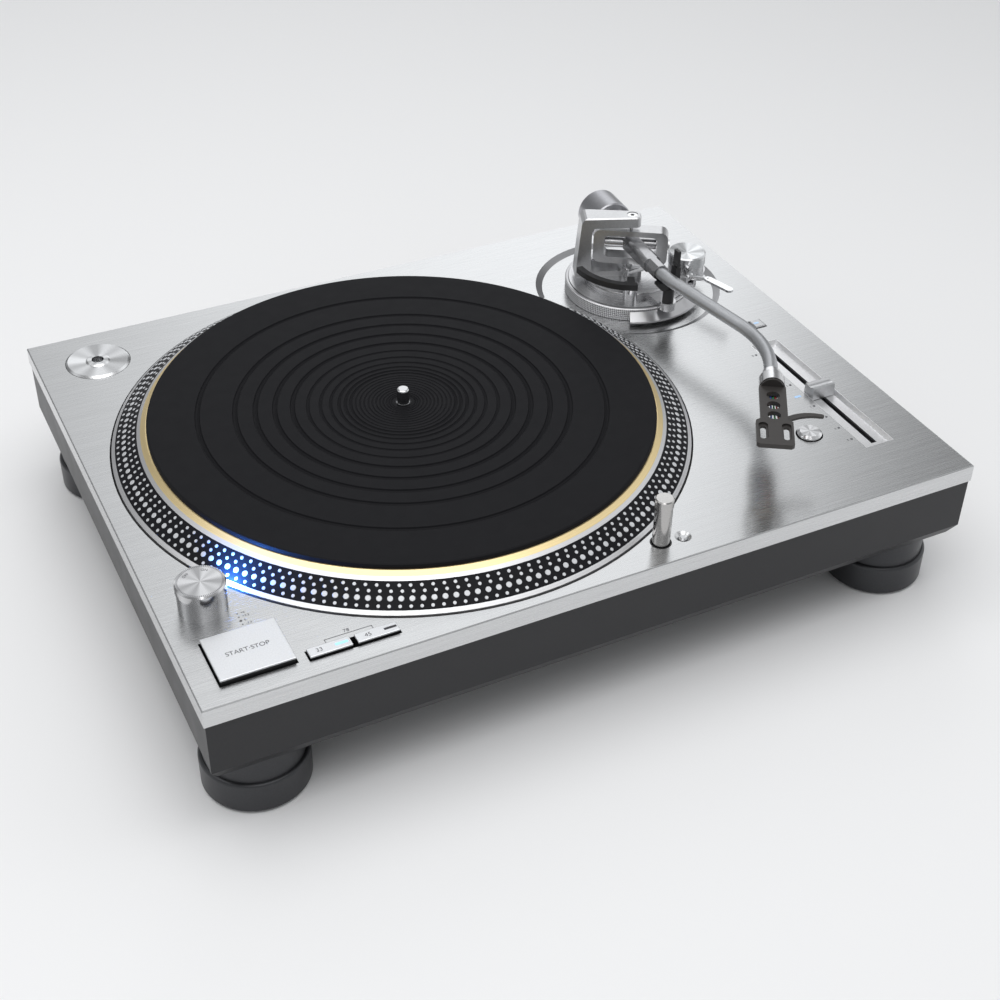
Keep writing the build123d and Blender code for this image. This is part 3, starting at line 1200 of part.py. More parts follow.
# Yoke: the fixed C-shaped frame over the gimbal, standing on the arm base
yoke_start = Vector(PIVOT_X, PIVOT_Y, TOP) + heading(-YOKE_ANGLE) * YOKE_FRONT
yoke_depth = YOKE_FRONT + YOKE_BACK
with BuildPart() as arm_yoke:
    with BuildSketch(upright(YOKE_ANGLE, yoke_start.X, yoke_start.Y)) as arm_yoke_profile:
        with BuildLine():
            Polyline(
                (YOKE_FOOT_X, BOSS_TOP),
                (YOKE_LEFT_X, YOKE_TOP - YOKE_SHOULDER_DROP),
                (YOKE_LEFT_X + YOKE_SHOULDER_WIDTH, YOKE_TOP),
                (YOKE_REACH, YOKE_TOP),
                (YOKE_REACH, YOKE_TOP - YOKE_ARM),
                (YOKE_INNER_X, YOKE_TOP - YOKE_ARM),
                (YOKE_INNER_X, BOSS_TOP + YOKE_FLOOR),
                (YOKE_BOSS_RADIUS, BOSS_TOP + YOKE_FLOOR),
                (YOKE_BOSS_RADIUS, BOSS_TOP),
                close=True,
            )
        make_face()
        inner_corners = arm_yoke_profile.vertices().filter_by_position(
            Axis.X, YOKE_INNER_X - 0.1, YOKE_INNER_X + 0.1
        )
        fillet(inner_corners, radius=YOKE_ROUNDING)
    extrude(amount=-yoke_depth)
    with BuildSketch(
        Plane(
            origin=(PIVOT_X, PIVOT_Y, TOP + BOSS_TOP),
            x_dir=(cos(radians(YOKE_ANGLE)), -sin(radians(YOKE_ANGLE)), 0),
            z_dir=(0, 0, 1),
        )
    ):
        with BuildLine():
            Polyline(
                (YOKE_INNER_X, YOKE_BACK + YOKE_CUT),
                (YOKE_INNER_X, YOKE_BACK),
                (YOKE_REACH, YOKE_BACK_AT_PIVOT),
                (YOKE_BOSS_RADIUS + YOKE_CUT, YOKE_BACK_AT_PIVOT),
                (YOKE_BOSS_RADIUS + YOKE_CUT, YOKE_BACK + YOKE_CUT),
                close=True,
            )
        make_face()
    extrude(amount=YOKE_TOP - BOSS_TOP, mode=Mode.SUBTRACT)
    arm_edges = arm_yoke.edges().filter_by(Axis.Z).filter_by_position(
        Axis.Z, TOP + YOKE_TOP - YOKE_ARM, TOP + YOKE_TOP
    )
    fillet(arm_edges.sort_by(Axis.X)[-2:], radius=YOKE_END_ROUNDING)
    top_edges = arm_yoke.faces().sort_by(Axis.Z)[-1].edges()
    chamfer(top_edges, length=YOKE_EDGE)
    with BuildSketch(at_pivot(BOSS_TOP)):
        Circle(YOKE_BOSS_RADIUS)
    extrude(amount=YOKE_BOSS_TOP - BOSS_TOP)
    with BuildSketch(at_pivot(BOSS_TOP + YOKE_BOSS_FLOOR)):
        Circle(SCREW_RADIUS + PIN_FIT)
    extrude(amount=YOKE_TOP - BOSS_TOP, mode=Mode.SUBTRACT)
    with BuildSketch(at_pivot(YOKE_TOP)):
        Circle(PIVOT_HEAD_RADIUS + PIVOT_HEAD_GAP)
    extrude(amount=-PIVOT_HEAD_DROP - PIVOT_HEAD, mode=Mode.SUBTRACT)
save(arm_yoke, "arm_yoke")

# Pivot screws: one down through the yoke and one up from its boss, with thin points
with BuildPart() as pivot_screws:
    with BuildSketch(at_pivot(YOKE_TOP - PIVOT_HEAD_DROP)):
        Circle(PIVOT_HEAD_RADIUS)
    extrude(amount=-PIVOT_HEAD)
    with BuildSketch(at_pivot(YOKE_TOP - PIVOT_HEAD_DROP)):
        Circle(SCREW_RADIUS)
    extrude(amount=-YOKE_ARM)
    with BuildSketch(at_pivot(YOKE_TOP - PIVOT_HEAD_DROP)):
        Circle(PIN_RADIUS)
    extrude(amount=-(YOKE_TOP - PIVOT_HEAD_DROP - GIMBAL_TOP + PIN_ENGAGEMENT))
    with BuildSketch(at_pivot(BOSS_TOP + YOKE_BOSS_FLOOR)):
        Circle(SCREW_RADIUS)
    extrude(amount=YOKE_BOSS_TOP - BOSS_TOP)
    with BuildSketch(at_pivot(YOKE_BOSS_TOP)):
        Circle(PIN_RADIUS)
    extrude(amount=GIMBAL_BOTTOM - YOKE_BOSS_TOP + PIN_ENGAGEMENT)
save(pivot_screws, "pivot_screws")

# Gimbal ring: a square ring square to the headshell, with four fine pivot holes
gimbal_middle = (GIMBAL_TOP + GIMBAL_BOTTOM) / 2
with BuildPart() as gimbal_ring:
    with BuildSketch(upright(GIMBAL_ANGLE)):
        with Locations((0, gimbal_middle)):
            RectangleRounded(GIMBAL_WIDTH, GIMBAL_TOP - GIMBAL_BOTTOM, GIMBAL_ROUNDING)
        with Locations((0, (WINDOW_TOP + WINDOW_BOTTOM) / 2)):
            RectangleRounded(
                2 * WINDOW_HALF_WIDTH,
                WINDOW_TOP - WINDOW_BOTTOM,
                WINDOW_ROUNDING,
                mode=Mode.SUBTRACT,
            )
    extrude(amount=GIMBAL_DEPTH / 2, both=True)
    with BuildSketch(at_pivot(GIMBAL_BOTTOM)):
        Circle(PIN_RADIUS + PIN_FIT)
    extrude(amount=PIN_BORE_DEPTH, mode=Mode.SUBTRACT)
    with BuildSketch(at_pivot(GIMBAL_TOP)):
        Circle(PIN_RADIUS + PIN_FIT)
    extrude(amount=-PIN_BORE_DEPTH, mode=Mode.SUBTRACT)
    with BuildSketch(along(PIVOT, heading(90.0 + SHELL_HEADING))):
        Circle(PIN_RADIUS + PIN_FIT)
    extrude(amount=WINDOW_HALF_WIDTH + PIN_BORE_DEPTH, both=True, mode=Mode.SUBTRACT)
save(gimbal_ring, "gimbal_ring")

# Arm hub: the cross shaft, the root of the arm with its collar, and the rear shaft
across_arm = heading(90.0 + SHELL_HEADING)
with BuildPart() as arm_hub:
    with BuildSketch(along(PIVOT, across_arm)):
        Circle(CROSS_RADIUS)
    extrude(amount=WINDOW_HALF_WIDTH - DIAL_GAP, both=True)
    with BuildSketch(along(PIVOT, across_arm)):
        Circle(PIN_RADIUS)
    extrude(amount=WINDOW_HALF_WIDTH + PIN_ENGAGEMENT, both=True)
    with BuildSketch(along(PIVOT, ROOT_DIRECTION)):
        RectangleRounded(ROOT_WIDTH, ROOT_HEIGHT, ROOT_ROUNDING)
    extrude(amount=ROOT_LENGTH)
    with BuildSketch(along(PIVOT, ROOT_DIRECTION, ROOT_LENGTH)):
        RegularPolygon(COLLAR_WIDTH / 2, 8, major_radius=False, rotation=22.5)
    extrude(amount=COLLAR_LENGTH)
    with BuildSketch(along(PIVOT, ROOT_DIRECTION, ROOT_LENGTH)):
        Circle(TUBE_RADIUS + COLLAR_FIT)
    extrude(amount=COLLAR_LENGTH, mode=Mode.SUBTRACT)
    with BuildSketch(along(PIVOT, ROOT_DIRECTION * -1)):
        Circle(ROOT_HEIGHT / 2)
    extrude(amount=WEIGHT_START - DIAL_GAP - DIAL_LENGTH - REAR_HUB_GAP)
    with BuildSketch(along(PIVOT, ROOT_DIRECTION * -1)):
        Circle(WEIGHT_SHAFT_RADIUS)
    extrude(amount=WEIGHT_SHAFT_END)
save(arm_hub, "arm_hub")

# Arm tube: one S-shaped tube from the hub's collar to the headshell's socket
root_heading = ARM_LINE_HEADING + ROOT_TURN
body_heading = ARM_LINE_HEADING + BODY_TURN
tube_start = PIVOT + heading(root_heading) * ROOT_LENGTH
bend_one = PIVOT + heading(root_heading) * FIRST_RUN
centre_one = bend_one + heading(root_heading + 90.0) * FIRST_BEND
bend_one_middle = centre_one - heading((root_heading + body_heading) / 2 + 90.0) * FIRST_BEND
bend_one_end = centre_one - heading(body_heading + 90.0) * FIRST_BEND
bend_two = bend_one_end + heading(body_heading) * SECOND_RUN
centre_two = bend_two - heading(body_heading + 90.0) * SECOND_BEND
bend_two_middle = centre_two + heading((body_heading + SHELL_HEADING) / 2 + 90.0) * SECOND_BEND
bend_two_end = centre_two + heading(SHELL_HEADING + 90.0) * SECOND_BEND
neck = bend_two_end + SHELL_DIRECTION * LAST_RUN
with BuildPart() as arm_tube:
    with BuildLine() as tube_path:
        Line(tube_start, bend_one)
        ThreePointArc(bend_one, bend_one_middle, bend_one_end)
        Line(bend_one_end, bend_two)
        ThreePointArc(bend_two, bend_two_middle, bend_two_end)
        Line(bend_two_end, neck - SHELL_DIRECTION * SOCKET_LENGTH)
    with BuildSketch(along(tube_start, ROOT_DIRECTION)):
        Circle(TUBE_RADIUS)
        Circle(TUBE_RADIUS - TUBE_WALL, mode=Mode.SUBTRACT)
    sweep()
    with BuildSketch(along(neck, SHELL_DIRECTION, -SOCKET_LENGTH)):
        Circle(SOCKET_RADIUS)
        Circle(TUBE_RADIUS - TUBE_WALL, mode=Mode.SUBTRACT)
    extrude(amount=SOCKET_LENGTH - SOCKET_FRONT)
    with BuildSketch(along(neck, SHELL_DIRECTION, -PLUG_LENGTH - PLUG_END_GAP)):
        Circle(PLUG_RADIUS + PLUG_FIT)
    extrude(amount=PLUG_LENGTH, mode=Mode.SUBTRACT)
save(arm_tube, "arm_tube")

# Locking nut: a bored ring round the socket, tapered at its rear and gripped in front
nut_back = -SOCKET_LENGTH - NUT_GAP
with BuildPart() as locking_nut:
    with BuildSketch(along(neck, SHELL_DIRECTION, nut_back - NUT_TAIL)):
        Circle(NUT_BACK_RADIUS)
    with BuildSketch(along(neck, SHELL_DIRECTION, nut_back + NUT_BAND_START)):
        Circle(NUT_BAND_RADIUS)
    loft()
    with BuildSketch(along(neck, SHELL_DIRECTION, nut_back + NUT_BAND_START)):
        Circle(NUT_RADIUS)
    extrude(amount=NUT_LENGTH - NUT_BAND_START)
    with BuildSketch(along(neck, SHELL_DIRECTION, nut_back)):
        Circle(SOCKET_RADIUS + NUT_GAP)
    extrude(amount=NUT_LENGTH, mode=Mode.SUBTRACT)
    with BuildSketch(along(neck, SHELL_DIRECTION, nut_back - NUT_TAIL)):
        Circle(TUBE_RADIUS + NUT_GAP)
    extrude(amount=NUT_TAIL, mode=Mode.SUBTRACT)
save(locking_nut, "locking_nut")

# Headshell: a pierced flat shell with cartridge slots, a plug and a finger lift
shell_plane = Plane(
    origin=neck + Vector(0, 0, SHELL_TOP), x_dir=SHELL_DIRECTION, z_dir=(0, 0, 1)
)
slot_middle = SHELL_LENGTH - SLOT_FROM_FRONT
with BuildPart() as headshell:
    with BuildSketch(shell_plane):
        with BuildLine():
            half_neck = SHELL_NECK_WIDTH / 2
            half_shell = SHELL_WIDTH / 2
            Polyline(
                (0, -half_neck),
                (SHELL_NECK_LENGTH, -half_neck),
                (SHELL_NECK_LENGTH + SHELL_STEP, -half_shell),
                (SHELL_LENGTH - SHELL_CORNER, -half_shell),
                (SHELL_LENGTH, -half_shell + SHELL_CORNER),
                (SHELL_LENGTH, half_shell - SHELL_CORNER),
                (SHELL_LENGTH - SHELL_CORNER, half_shell),
                (SHELL_NECK_LENGTH + SHELL_STEP, half_shell),
                (SHELL_NECK_LENGTH, half_neck),
                (0, half_neck),
                close=True,
            )
        make_face()
        for count in range(3):
            with Locations((SHELL_HOLE_START + count * SHELL_HOLE_PITCH, 0)):
                Circle(SHELL_HOLE_RADIUS, mode=Mode.SUBTRACT)
        with Locations((slot_middle, -CARTRIDGE_SPACING / 2), (slot_middle, CARTRIDGE_SPACING / 2)):
            SlotOverall(SLOT_LENGTH, SLOT_WIDTH, mode=Mode.SUBTRACT)
    extrude(amount=-SHELL_THICKNESS)
    with BuildSketch(shell_plane):
        with Locations((slot_middle, -CARTRIDGE_SPACING / 2), (slot_middle, CARTRIDGE_SPACING / 2)):
            SlotOverall(SLOT_RECESS_LENGTH, SLOT_RECESS_WIDTH)
    extrude(amount=-SLOT_RECESS_DEPTH, mode=Mode.SUBTRACT)
    with BuildSketch(along(neck, SHELL_DIRECTION, -SHELL_BACK)):
        Circle(SHELL_BACK_RADIUS)
    extrude(amount=2 * SHELL_BACK)
    with BuildSketch(along(neck, SHELL_DIRECTION, -PLUG_LENGTH)):
        Circle(PLUG_RADIUS)
    extrude(amount=PLUG_LENGTH)
    with BuildSketch(shell_plane.offset(-SHELL_TOP)):
        with BuildLine():
            tip_middle = SHELL_NECK_LENGTH - LIFT_SWEEP
            bow = SHELL_NECK_LENGTH - LIFT_BOW
            bow_reach = half_neck + LIFT_REACH / 2
            root = (SHELL_NECK_LENGTH - LIFT_ROOT, half_neck - LIFT_OVERLAP)
            root_front = (SHELL_NECK_LENGTH, half_neck - LIFT_OVERLAP)
            tip_front = (tip_middle + LIFT_TIP / 2, half_neck + LIFT_REACH)
            tip = (tip_middle - LIFT_TIP / 2, half_neck + LIFT_REACH)
            Line(root, root_front)
            ThreePointArc(root_front, (bow + LIFT_WAIST / 2, bow_reach), tip_front)
            ThreePointArc(tip_front, (tip_middle, half_neck + LIFT_REACH + LIFT_TIP / 2), tip)
            ThreePointArc(tip, (bow - LIFT_WAIST / 2, bow_reach), root)
        make_face()
    extrude(amount=-LIFT_THICKNESS)
save(headshell, "headshell")

# Force dial and counterweight, one behind the other on the rear shaft
rear = ROOT_DIRECTION * -1
dial_start = WEIGHT_START - DIAL_GAP - DIAL_LENGTH
with BuildPart() as force_dial:
    with BuildSketch(along(PIVOT, rear, dial_start)):
        Circle(DIAL_RADIUS)
        Circle(WEIGHT_SHAFT_RADIUS + WEIGHT_FIT, mode=Mode.SUBTRACT)
    extrude(amount=DIAL_LENGTH)
    dial_edges = force_dial.edges().filter_by(GeomType.CIRCLE).group_by(SortBy.RADIUS)[-1]
    chamfer(dial_edges, length=DIAL_EDGE)
save(force_dial, "force_dial")

with BuildPart() as counterweight:
    with BuildSketch(along(PIVOT, rear, WEIGHT_START)):
        Circle(WEIGHT_RADIUS)
        Circle(WEIGHT_SHAFT_RADIUS + WEIGHT_FIT, mode=Mode.SUBTRACT)
    extrude(amount=WEIGHT_LENGTH)
    weight_edges = counterweight.edges().filter_by(GeomType.CIRCLE).group_by(SortBy.RADIUS)[-1]
    chamfer(weight_edges, length=WEIGHT_EDGE)
    with BuildSketch(along(PIVOT, rear, WEIGHT_START + WEIGHT_LENGTH)):
        Circle(WEIGHT_RECESS_RADIUS)
    extrude(amount=-WEIGHT_RECESS_DEPTH, mode=Mode.SUBTRACT)
save(counterweight, "counterweight")

# Arm rest: a stalk, a cradle under the tube and an outer wall for the clip
cradle_top = ARM_HEIGHT - TUBE_RADIUS - CRADLE_GAP
cradle_start = Vector(PIVOT_X, PIVOT_Y + REST_Y - CRADLE_LENGTH / 2, TOP)
with BuildPart() as arm_rest:
    with BuildSketch(at_pivot(REST_POST_TOP)):
        with Locations((REST_X, REST_Y)):
            Circle(REST_STALK_RADIUS)
    extrude(amount=CRADLE_BOTTOM - REST_POST_TOP)
    with BuildSketch(upright(0, cradle_start.X, cradle_start.Y)):
        with BuildLine():
            Polyline(
                (CRADLE_LEFT + CRADLE_TAPER, CRADLE_BOTTOM),
                (CRADLE_RIGHT - CRADLE_EDGE, CRADLE_BOTTOM),
                (CRADLE_RIGHT, CRADLE_BOTTOM + CRADLE_EDGE),
                (CRADLE_RIGHT, REST_WALL_TOP),
                (CRADLE_RIGHT - REST_WALL, REST_WALL_TOP),
                (CRADLE_RIGHT - REST_WALL, cradle_top),
                (CRADLE_LEFT, cradle_top),
                (CRADLE_LEFT, cradle_top - CRADLE_LIP),
                close=True,
            )
        make_face()
    extrude(amount=-CRADLE_LENGTH)
    with BuildSketch(upright(0, cradle_start.X, PIVOT_Y + REST_Y)):
        with Locations((CLIP_X, CLIP_Z)):
            Circle(CLIP_BARREL)
        with Locations((CLIP_X, (CLIP_Z + REST_WALL_TOP) / 2)):
            Rectangle(CLIP_LUG_NECK, CLIP_Z - REST_WALL_TOP)
    extrude(amount=CLIP_LUG / 2, both=True)
    with BuildSketch(upright(0, cradle_start.X, cradle_start.Y)):
        with Locations((CLIP_X, CLIP_Z)):
            Circle(CLIP_PIN_RADIUS)
    extrude(amount=-CRADLE_LENGTH)
save(arm_rest, "arm_rest")

# Rest clip: a small forked latch on the lug's pin, which folds over the tube
with BuildPart() as rest_clip:
    with BuildSketch(upright(0, cradle_start.X, cradle_start.Y)):
        with Locations((CLIP_X, CLIP_Z)):
            Circle(CLIP_BARREL)
        with Locations((CLIP_X, CLIP_Z + CLIP_LENGTH / 2)):
            Rectangle(CLIP_THICKNESS, CLIP_LENGTH)
        with Locations((CLIP_X, CLIP_Z)):
            Circle(CLIP_PIN_RADIUS + PIN_FIT, mode=Mode.SUBTRACT)
    extrude(amount=-CRADLE_LENGTH)
    with BuildSketch(upright(0, cradle_start.X, PIVOT_Y + REST_Y)):
        with Locations((CLIP_X, CLIP_Z)):
            Circle(CLIP_BARREL + CLIP_GAP)
    extrude(amount=CLIP_LUG / 2 + CLIP_GAP, both=True, mode=Mode.SUBTRACT)
save(rest_clip, "rest_clip")

# Anti-skating dial: a knob on a stem in the lobe's collar
with BuildPart() as skate_knob:
    knob_bottom = SKATE_COLLAR_TOP + SKATE_GAP
    with BuildSketch(profile(PIVOT_X + SKATE_X, PIVOT_Y + SKATE_Y, TOP)):
        with BuildLine():
            Polyline(
                (0, LOBE_TOP - SKATE_STEM_DROP),
                (SKATE_STEM_RADIUS, LOBE_TOP - SKATE_STEM_DROP),
                (SKATE_STEM_RADIUS, knob_bottom),
                (SKATE_KNOB_RADIUS, knob_bottom),
                (SKATE_KNOB_RADIUS, SKATE_KNOB_TOP - SKATE_KNOB_EDGE),
                (SKATE_KNOB_RADIUS - SKATE_KNOB_EDGE, SKATE_KNOB_TOP),
                (0, SKATE_KNOB_TOP - SKATE_KNOB_DISHING),
                close=True,
            )
        make_face()
    revolve(axis=Axis((PIVOT_X + SKATE_X, PIVOT_Y + SKATE_Y, 0), (0, 0, 1)))
save(skate_knob, "skate_knob")

# Cueing bracket and lever: a flat paddle on a sloping rod, hinged between two lugs
cue_middle = Vector(PIVOT_X + CUE_X, PIVOT_Y + CUE_Y, TOP + CUE_Z)
cue_direction = heading(CUE_HEADING)
cue_side = cue_direction.cross(Vector(0, 0, 1))
lug_offset = CUE_BARREL_LENGTH / 2 + CUE_GAP
rod_reach = cue_direction * CUE_ROD_LENGTH + Vector(0, 0, PADDLE_RISE)
rod_direction = rod_reach.normalized()
paddle_height = CUE_Z - LOBE_TOP + PADDLE_RISE
paddle_end = CUE_ROD_LENGTH + PADDLE_LENGTH
cue_level = Plane(
    origin=cue_middle - Vector(0, 0, CUE_Z - LOBE_TOP), x_dir=cue_direction, z_dir=(0, 0, 1)
)
with BuildPart() as cue_bracket:
    for side in (-1, 1):
        with BuildSketch(cue_level):
            with Locations((0, side * (lug_offset + CUE_LUG / 2))):
                Rectangle(2 * CUE_BARREL_RADIUS, CUE_LUG)
        extrude(amount=CUE_Z - LOBE_TOP + CUE_LUG_RISE)
    with BuildSketch(along(cue_middle, cue_side)):
        Circle(PIN_RADIUS)
    extrude(amount=lug_offset + CUE_LUG / 2, both=True)
save(cue_bracket, "cue_bracket")

with BuildPart() as cue_lever:
    with BuildSketch(along(cue_middle, cue_side)):
        Circle(CUE_BARREL_RADIUS)
    extrude(amount=CUE_BARREL_LENGTH / 2, both=True)
    with BuildSketch(along(cue_middle, rod_direction)):
        Circle(CUE_ROD_RADIUS)
    with BuildSketch(along(cue_middle, rod_direction, rod_reach.length)):
        Circle(CUE_ROD_TIP_RADIUS)
    loft()
    with BuildSketch(cue_level.offset(paddle_height + PADDLE_THICKNESS / 2)):
        with BuildLine():
            Polyline(
                (CUE_ROD_LENGTH - PADDLE_TAPER, -PADDLE_ROOT_WIDTH / 2),
                (CUE_ROD_LENGTH, -PADDLE_WIDTH / 2),
                (paddle_end - PADDLE_CORNER, -PADDLE_WIDTH / 2),
                (paddle_end, -PADDLE_WIDTH / 2 + PADDLE_CORNER),
                (paddle_end, PADDLE_WIDTH / 2 - PADDLE_CORNER),
                (paddle_end - PADDLE_CORNER, PADDLE_WIDTH / 2),
                (CUE_ROD_LENGTH, PADDLE_WIDTH / 2),
                (CUE_ROD_LENGTH - PADDLE_TAPER, PADDLE_ROOT_WIDTH / 2),
                close=True,
            )
        make_face()
    extrude(amount=-PADDLE_THICKNESS)
    with BuildSketch(along(cue_middle, cue_side)):
        Circle(PIN_RADIUS + PIN_FIT)
    extrude(amount=CUE_BARREL_LENGTH, both=True, mode=Mode.SUBTRACT)
save(cue_lever, "cue_lever")

# Lifter: a plunger in a fixed post, carrying the arc that the tube comes down on
lifter_angle = degrees(atan2(LIFTER_Y, LIFTER_X))
lifter_distance = sqrt(LIFTER_X**2 + LIFTER_Y**2)
with BuildPart() as lifter_post:
    with BuildSketch(at_pivot(BASE_TOP)):
        with Locations((LIFTER_X, LIFTER_Y)):
            Circle(LIFTER_POST_RADIUS)
            Circle(LIFTER_ROD_RADIUS + PIN_FIT, mode=Mode.SUBTRACT)
    extrude(amount=LIFTER_POST_TOP - BASE_TOP)
save(lifter_post, "lifter_post")

with BuildPart() as lifter:
    with BuildSketch(at_pivot(BASE_TOP + SWITCH_GAP)):
        with Locations((LIFTER_X, LIFTER_Y)):
            Circle(LIFTER_ROD_RADIUS)
    extrude(amount=LIFTER_ARC_BOTTOM - BASE_TOP)
    with BuildSketch(at_pivot(LIFTER_ARC_BOTTOM)):
        with BuildLine():
            CenterArc((0, 0), LIFTER_ARC_INNER, LIFTER_ARC_START, LIFTER_ARC_SWEEP)
            CenterArc((0, 0), LIFTER_ARC_OUTER, LIFTER_ARC_START, LIFTER_ARC_SWEEP)
            for angle in (LIFTER_ARC_START, LIFTER_ARC_START + LIFTER_ARC_SWEEP):
                inner = Vector(cos(radians(angle)), sin(radians(angle)), 0)
                Line(inner * LIFTER_ARC_INNER, inner * LIFTER_ARC_OUTER)
        make_face()
    extrude(amount=LIFTER_ARC_TOP - LIFTER_ARC_BOTTOM)
    with BuildSketch(at_pivot(LIFTER_ARC_BOTTOM)):
        bracket_end = LIFTER_ARC_INNER + LIFTER_BRACKET_OVERLAP
        bracket_start = lifter_distance - LIFTER_ROD_RADIUS
        middle = (bracket_start + bracket_end) / 2
        bracket = Vector(cos(radians(lifter_angle)), sin(radians(lifter_angle)), 0) * middle
        with Locations(Location(bracket, (0, 0, lifter_angle))):
            Rectangle(bracket_end - bracket_start, LIFTER_BRACKET_WIDTH)
    extrude(amount=LIFTER_BRACKET)
save(lifter, "lifter")

# Rear terminals: a recessed panel with the signal sockets and the mains inlet
rear_face = OUTER_DEPTH / 2 - PANEL_SETBACK


def rear_plane(x, depth=0.0):
    """A plane on the rear wall that looks backwards, this deep behind its face."""
    return Plane(origin=(x, rear_face - depth, SOCKET_Z), x_dir=(-1, 0, 0), z_dir=(0, 1, 0))


with BuildPart() as terminal_panel:
    with BuildSketch(rear_plane(TERMINAL_X)):
        Rectangle(TERMINAL_WIDTH - LOOSE_FIT, TERMINAL_HEIGHT - LOOSE_FIT)
    extrude(amount=-TERMINAL_RECESS - PANEL_THICKNESS)
    with BuildSketch(rear_plane(TERMINAL_X)):
        Rectangle(TERMINAL_WIDTH - 2 * PANEL_THICKNESS, TERMINAL_HEIGHT - 2 * PANEL_THICKNESS)
    extrude(amount=-TERMINAL_RECESS, mode=Mode.SUBTRACT)
save(terminal_panel, "terminal_panel")

with BuildPart() as rear_sockets:
    for offset in (-0.5, 0.5):
        x = TERMINAL_X - PHONO_PITCH / 2 + offset * PHONO_PITCH
        with BuildSketch(rear_plane(x, TERMINAL_RECESS)):
            Circle(PHONO_FLANGE_RADIUS)
        extrude(amount=PHONO_FLANGE)
        with BuildSketch(rear_plane(x, TERMINAL_RECESS)):
            Circle(PHONO_RADIUS)
        extrude(amount=PHONO_LENGTH)
        with BuildSketch(rear_plane(x, TERMINAL_RECESS)):
            Circle(PHONO_PIN_BORE)
        extrude(amount=PHONO_LENGTH, mode=Mode.SUBTRACT)
    with BuildSketch(rear_plane(TERMINAL_X + EARTH_OFFSET, TERMINAL_RECESS)):
        Circle(EARTH_RADIUS / 2)
    extrude(amount=PHONO_LENGTH)
    with BuildSketch(rear_plane(TERMINAL_X + EARTH_OFFSET, TERMINAL_RECESS - EARTH_HEAD_START)):
        Circle(EARTH_RADIUS)
    extrude(amount=EARTH_HEAD)
save(rear_sockets, "rear_sockets")

with BuildPart() as mains_inlet:
    with BuildSketch(rear_plane(INLET_X)):
        Rectangle(INLET_WIDTH, INLET_HEIGHT)
    extrude(amount=-INLET_DEPTH)
    with BuildSketch(rear_plane(INLET_X)):
        Rectangle(INLET_WIDTH - 2 * INLET_WALL, INLET_HEIGHT - 2 * INLET_WALL)
    extrude(amount=-INLET_DEPTH + INLET_WALL, mode=Mode.SUBTRACT)
    for side in (-0.5, 0.5):
        x = INLET_X + side * PIN_SPACING
        with BuildSketch(rear_plane(x, INLET_DEPTH - INLET_WALL)):
            Rectangle(PIN_WIDTH, PIN_HEIGHT)
        extrude(amount=PIN_LENGTH)
save(mains_inlet, "mains_inlet")

# Boards and transformer, standing on the base slab
with BuildPart() as circuit_boards:
    for x, y, width, depth in (
        (SUPPLY_X, SUPPLY_Y, SUPPLY_WIDTH, SUPPLY_DEPTH),
        (LOGIC_X, LOGIC_Y, LOGIC_WIDTH, LOGIC_DEPTH),
    ):
        with BuildSketch(level(x, y, SLAB_TOP)):
            across = width - 2 * BOARD_POST_INSET
            back = depth - 2 * BOARD_POST_INSET
            with GridLocations(across, back, 2, 2):
                RegularPolygon(BOARD_POST_RADIUS, 6)
        extrude(amount=BOARD_POST_HEIGHT)
        with BuildSketch(level(x, y, SLAB_TOP + BOARD_POST_HEIGHT)):
            Rectangle(width, depth)
        extrude(amount=BOARD_THICKNESS)
save(circuit_boards, "circuit_boards")

with BuildPart() as transformer:
    with BuildSketch(level(TRANSFORMER_X, TRANSFORMER_Y, SLAB_TOP)):
        Rectangle(TRANSFORMER_WIDTH, TRANSFORMER_DEPTH)
    extrude(amount=TRANSFORMER_HEIGHT)
save(transformer, "transformer")
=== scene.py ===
from math import cos, radians, sin, tau

import bmesh
import bpy
from mathutils import Matrix, Vector


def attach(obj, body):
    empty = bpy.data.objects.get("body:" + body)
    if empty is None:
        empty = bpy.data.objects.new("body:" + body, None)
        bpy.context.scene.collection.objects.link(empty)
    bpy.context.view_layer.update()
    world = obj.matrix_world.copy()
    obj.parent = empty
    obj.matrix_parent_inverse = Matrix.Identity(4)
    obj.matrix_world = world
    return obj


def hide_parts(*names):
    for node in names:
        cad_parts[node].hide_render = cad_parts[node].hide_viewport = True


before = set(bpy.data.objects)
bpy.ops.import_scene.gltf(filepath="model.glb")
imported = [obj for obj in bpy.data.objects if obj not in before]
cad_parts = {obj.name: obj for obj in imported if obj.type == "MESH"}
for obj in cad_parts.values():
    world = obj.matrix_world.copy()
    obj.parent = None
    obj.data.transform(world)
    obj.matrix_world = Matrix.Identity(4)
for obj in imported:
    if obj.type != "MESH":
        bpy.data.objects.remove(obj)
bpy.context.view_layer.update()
scene = bpy.context.scene
scene.view_settings.view_transform = "Standard"
MM = 0.001
ORIGIN = (0.0, 0.0, 0.0)
UPWARDS = Vector((0.0, 0.0, 1.0))


def add_object(name, data):
    """Puts a new object with this data in the scene."""
    thing = bpy.data.objects.new(name, data)
    scene.collection.objects.link(thing)
    return thing


# Camera: above the front left corner, as in the photograph
camera = add_object("camera", bpy.data.cameras.new("camera"))
camera.data.sensor_width = 36.0
camera.data.lens = 57.5
camera.data.clip_end = 50.0
camera.location = (-0.34194, -0.70207, 0.61794)
camera.rotation_euler = (radians(52.317), radians(-0.823), radians(-26.283))
scene.camera = camera

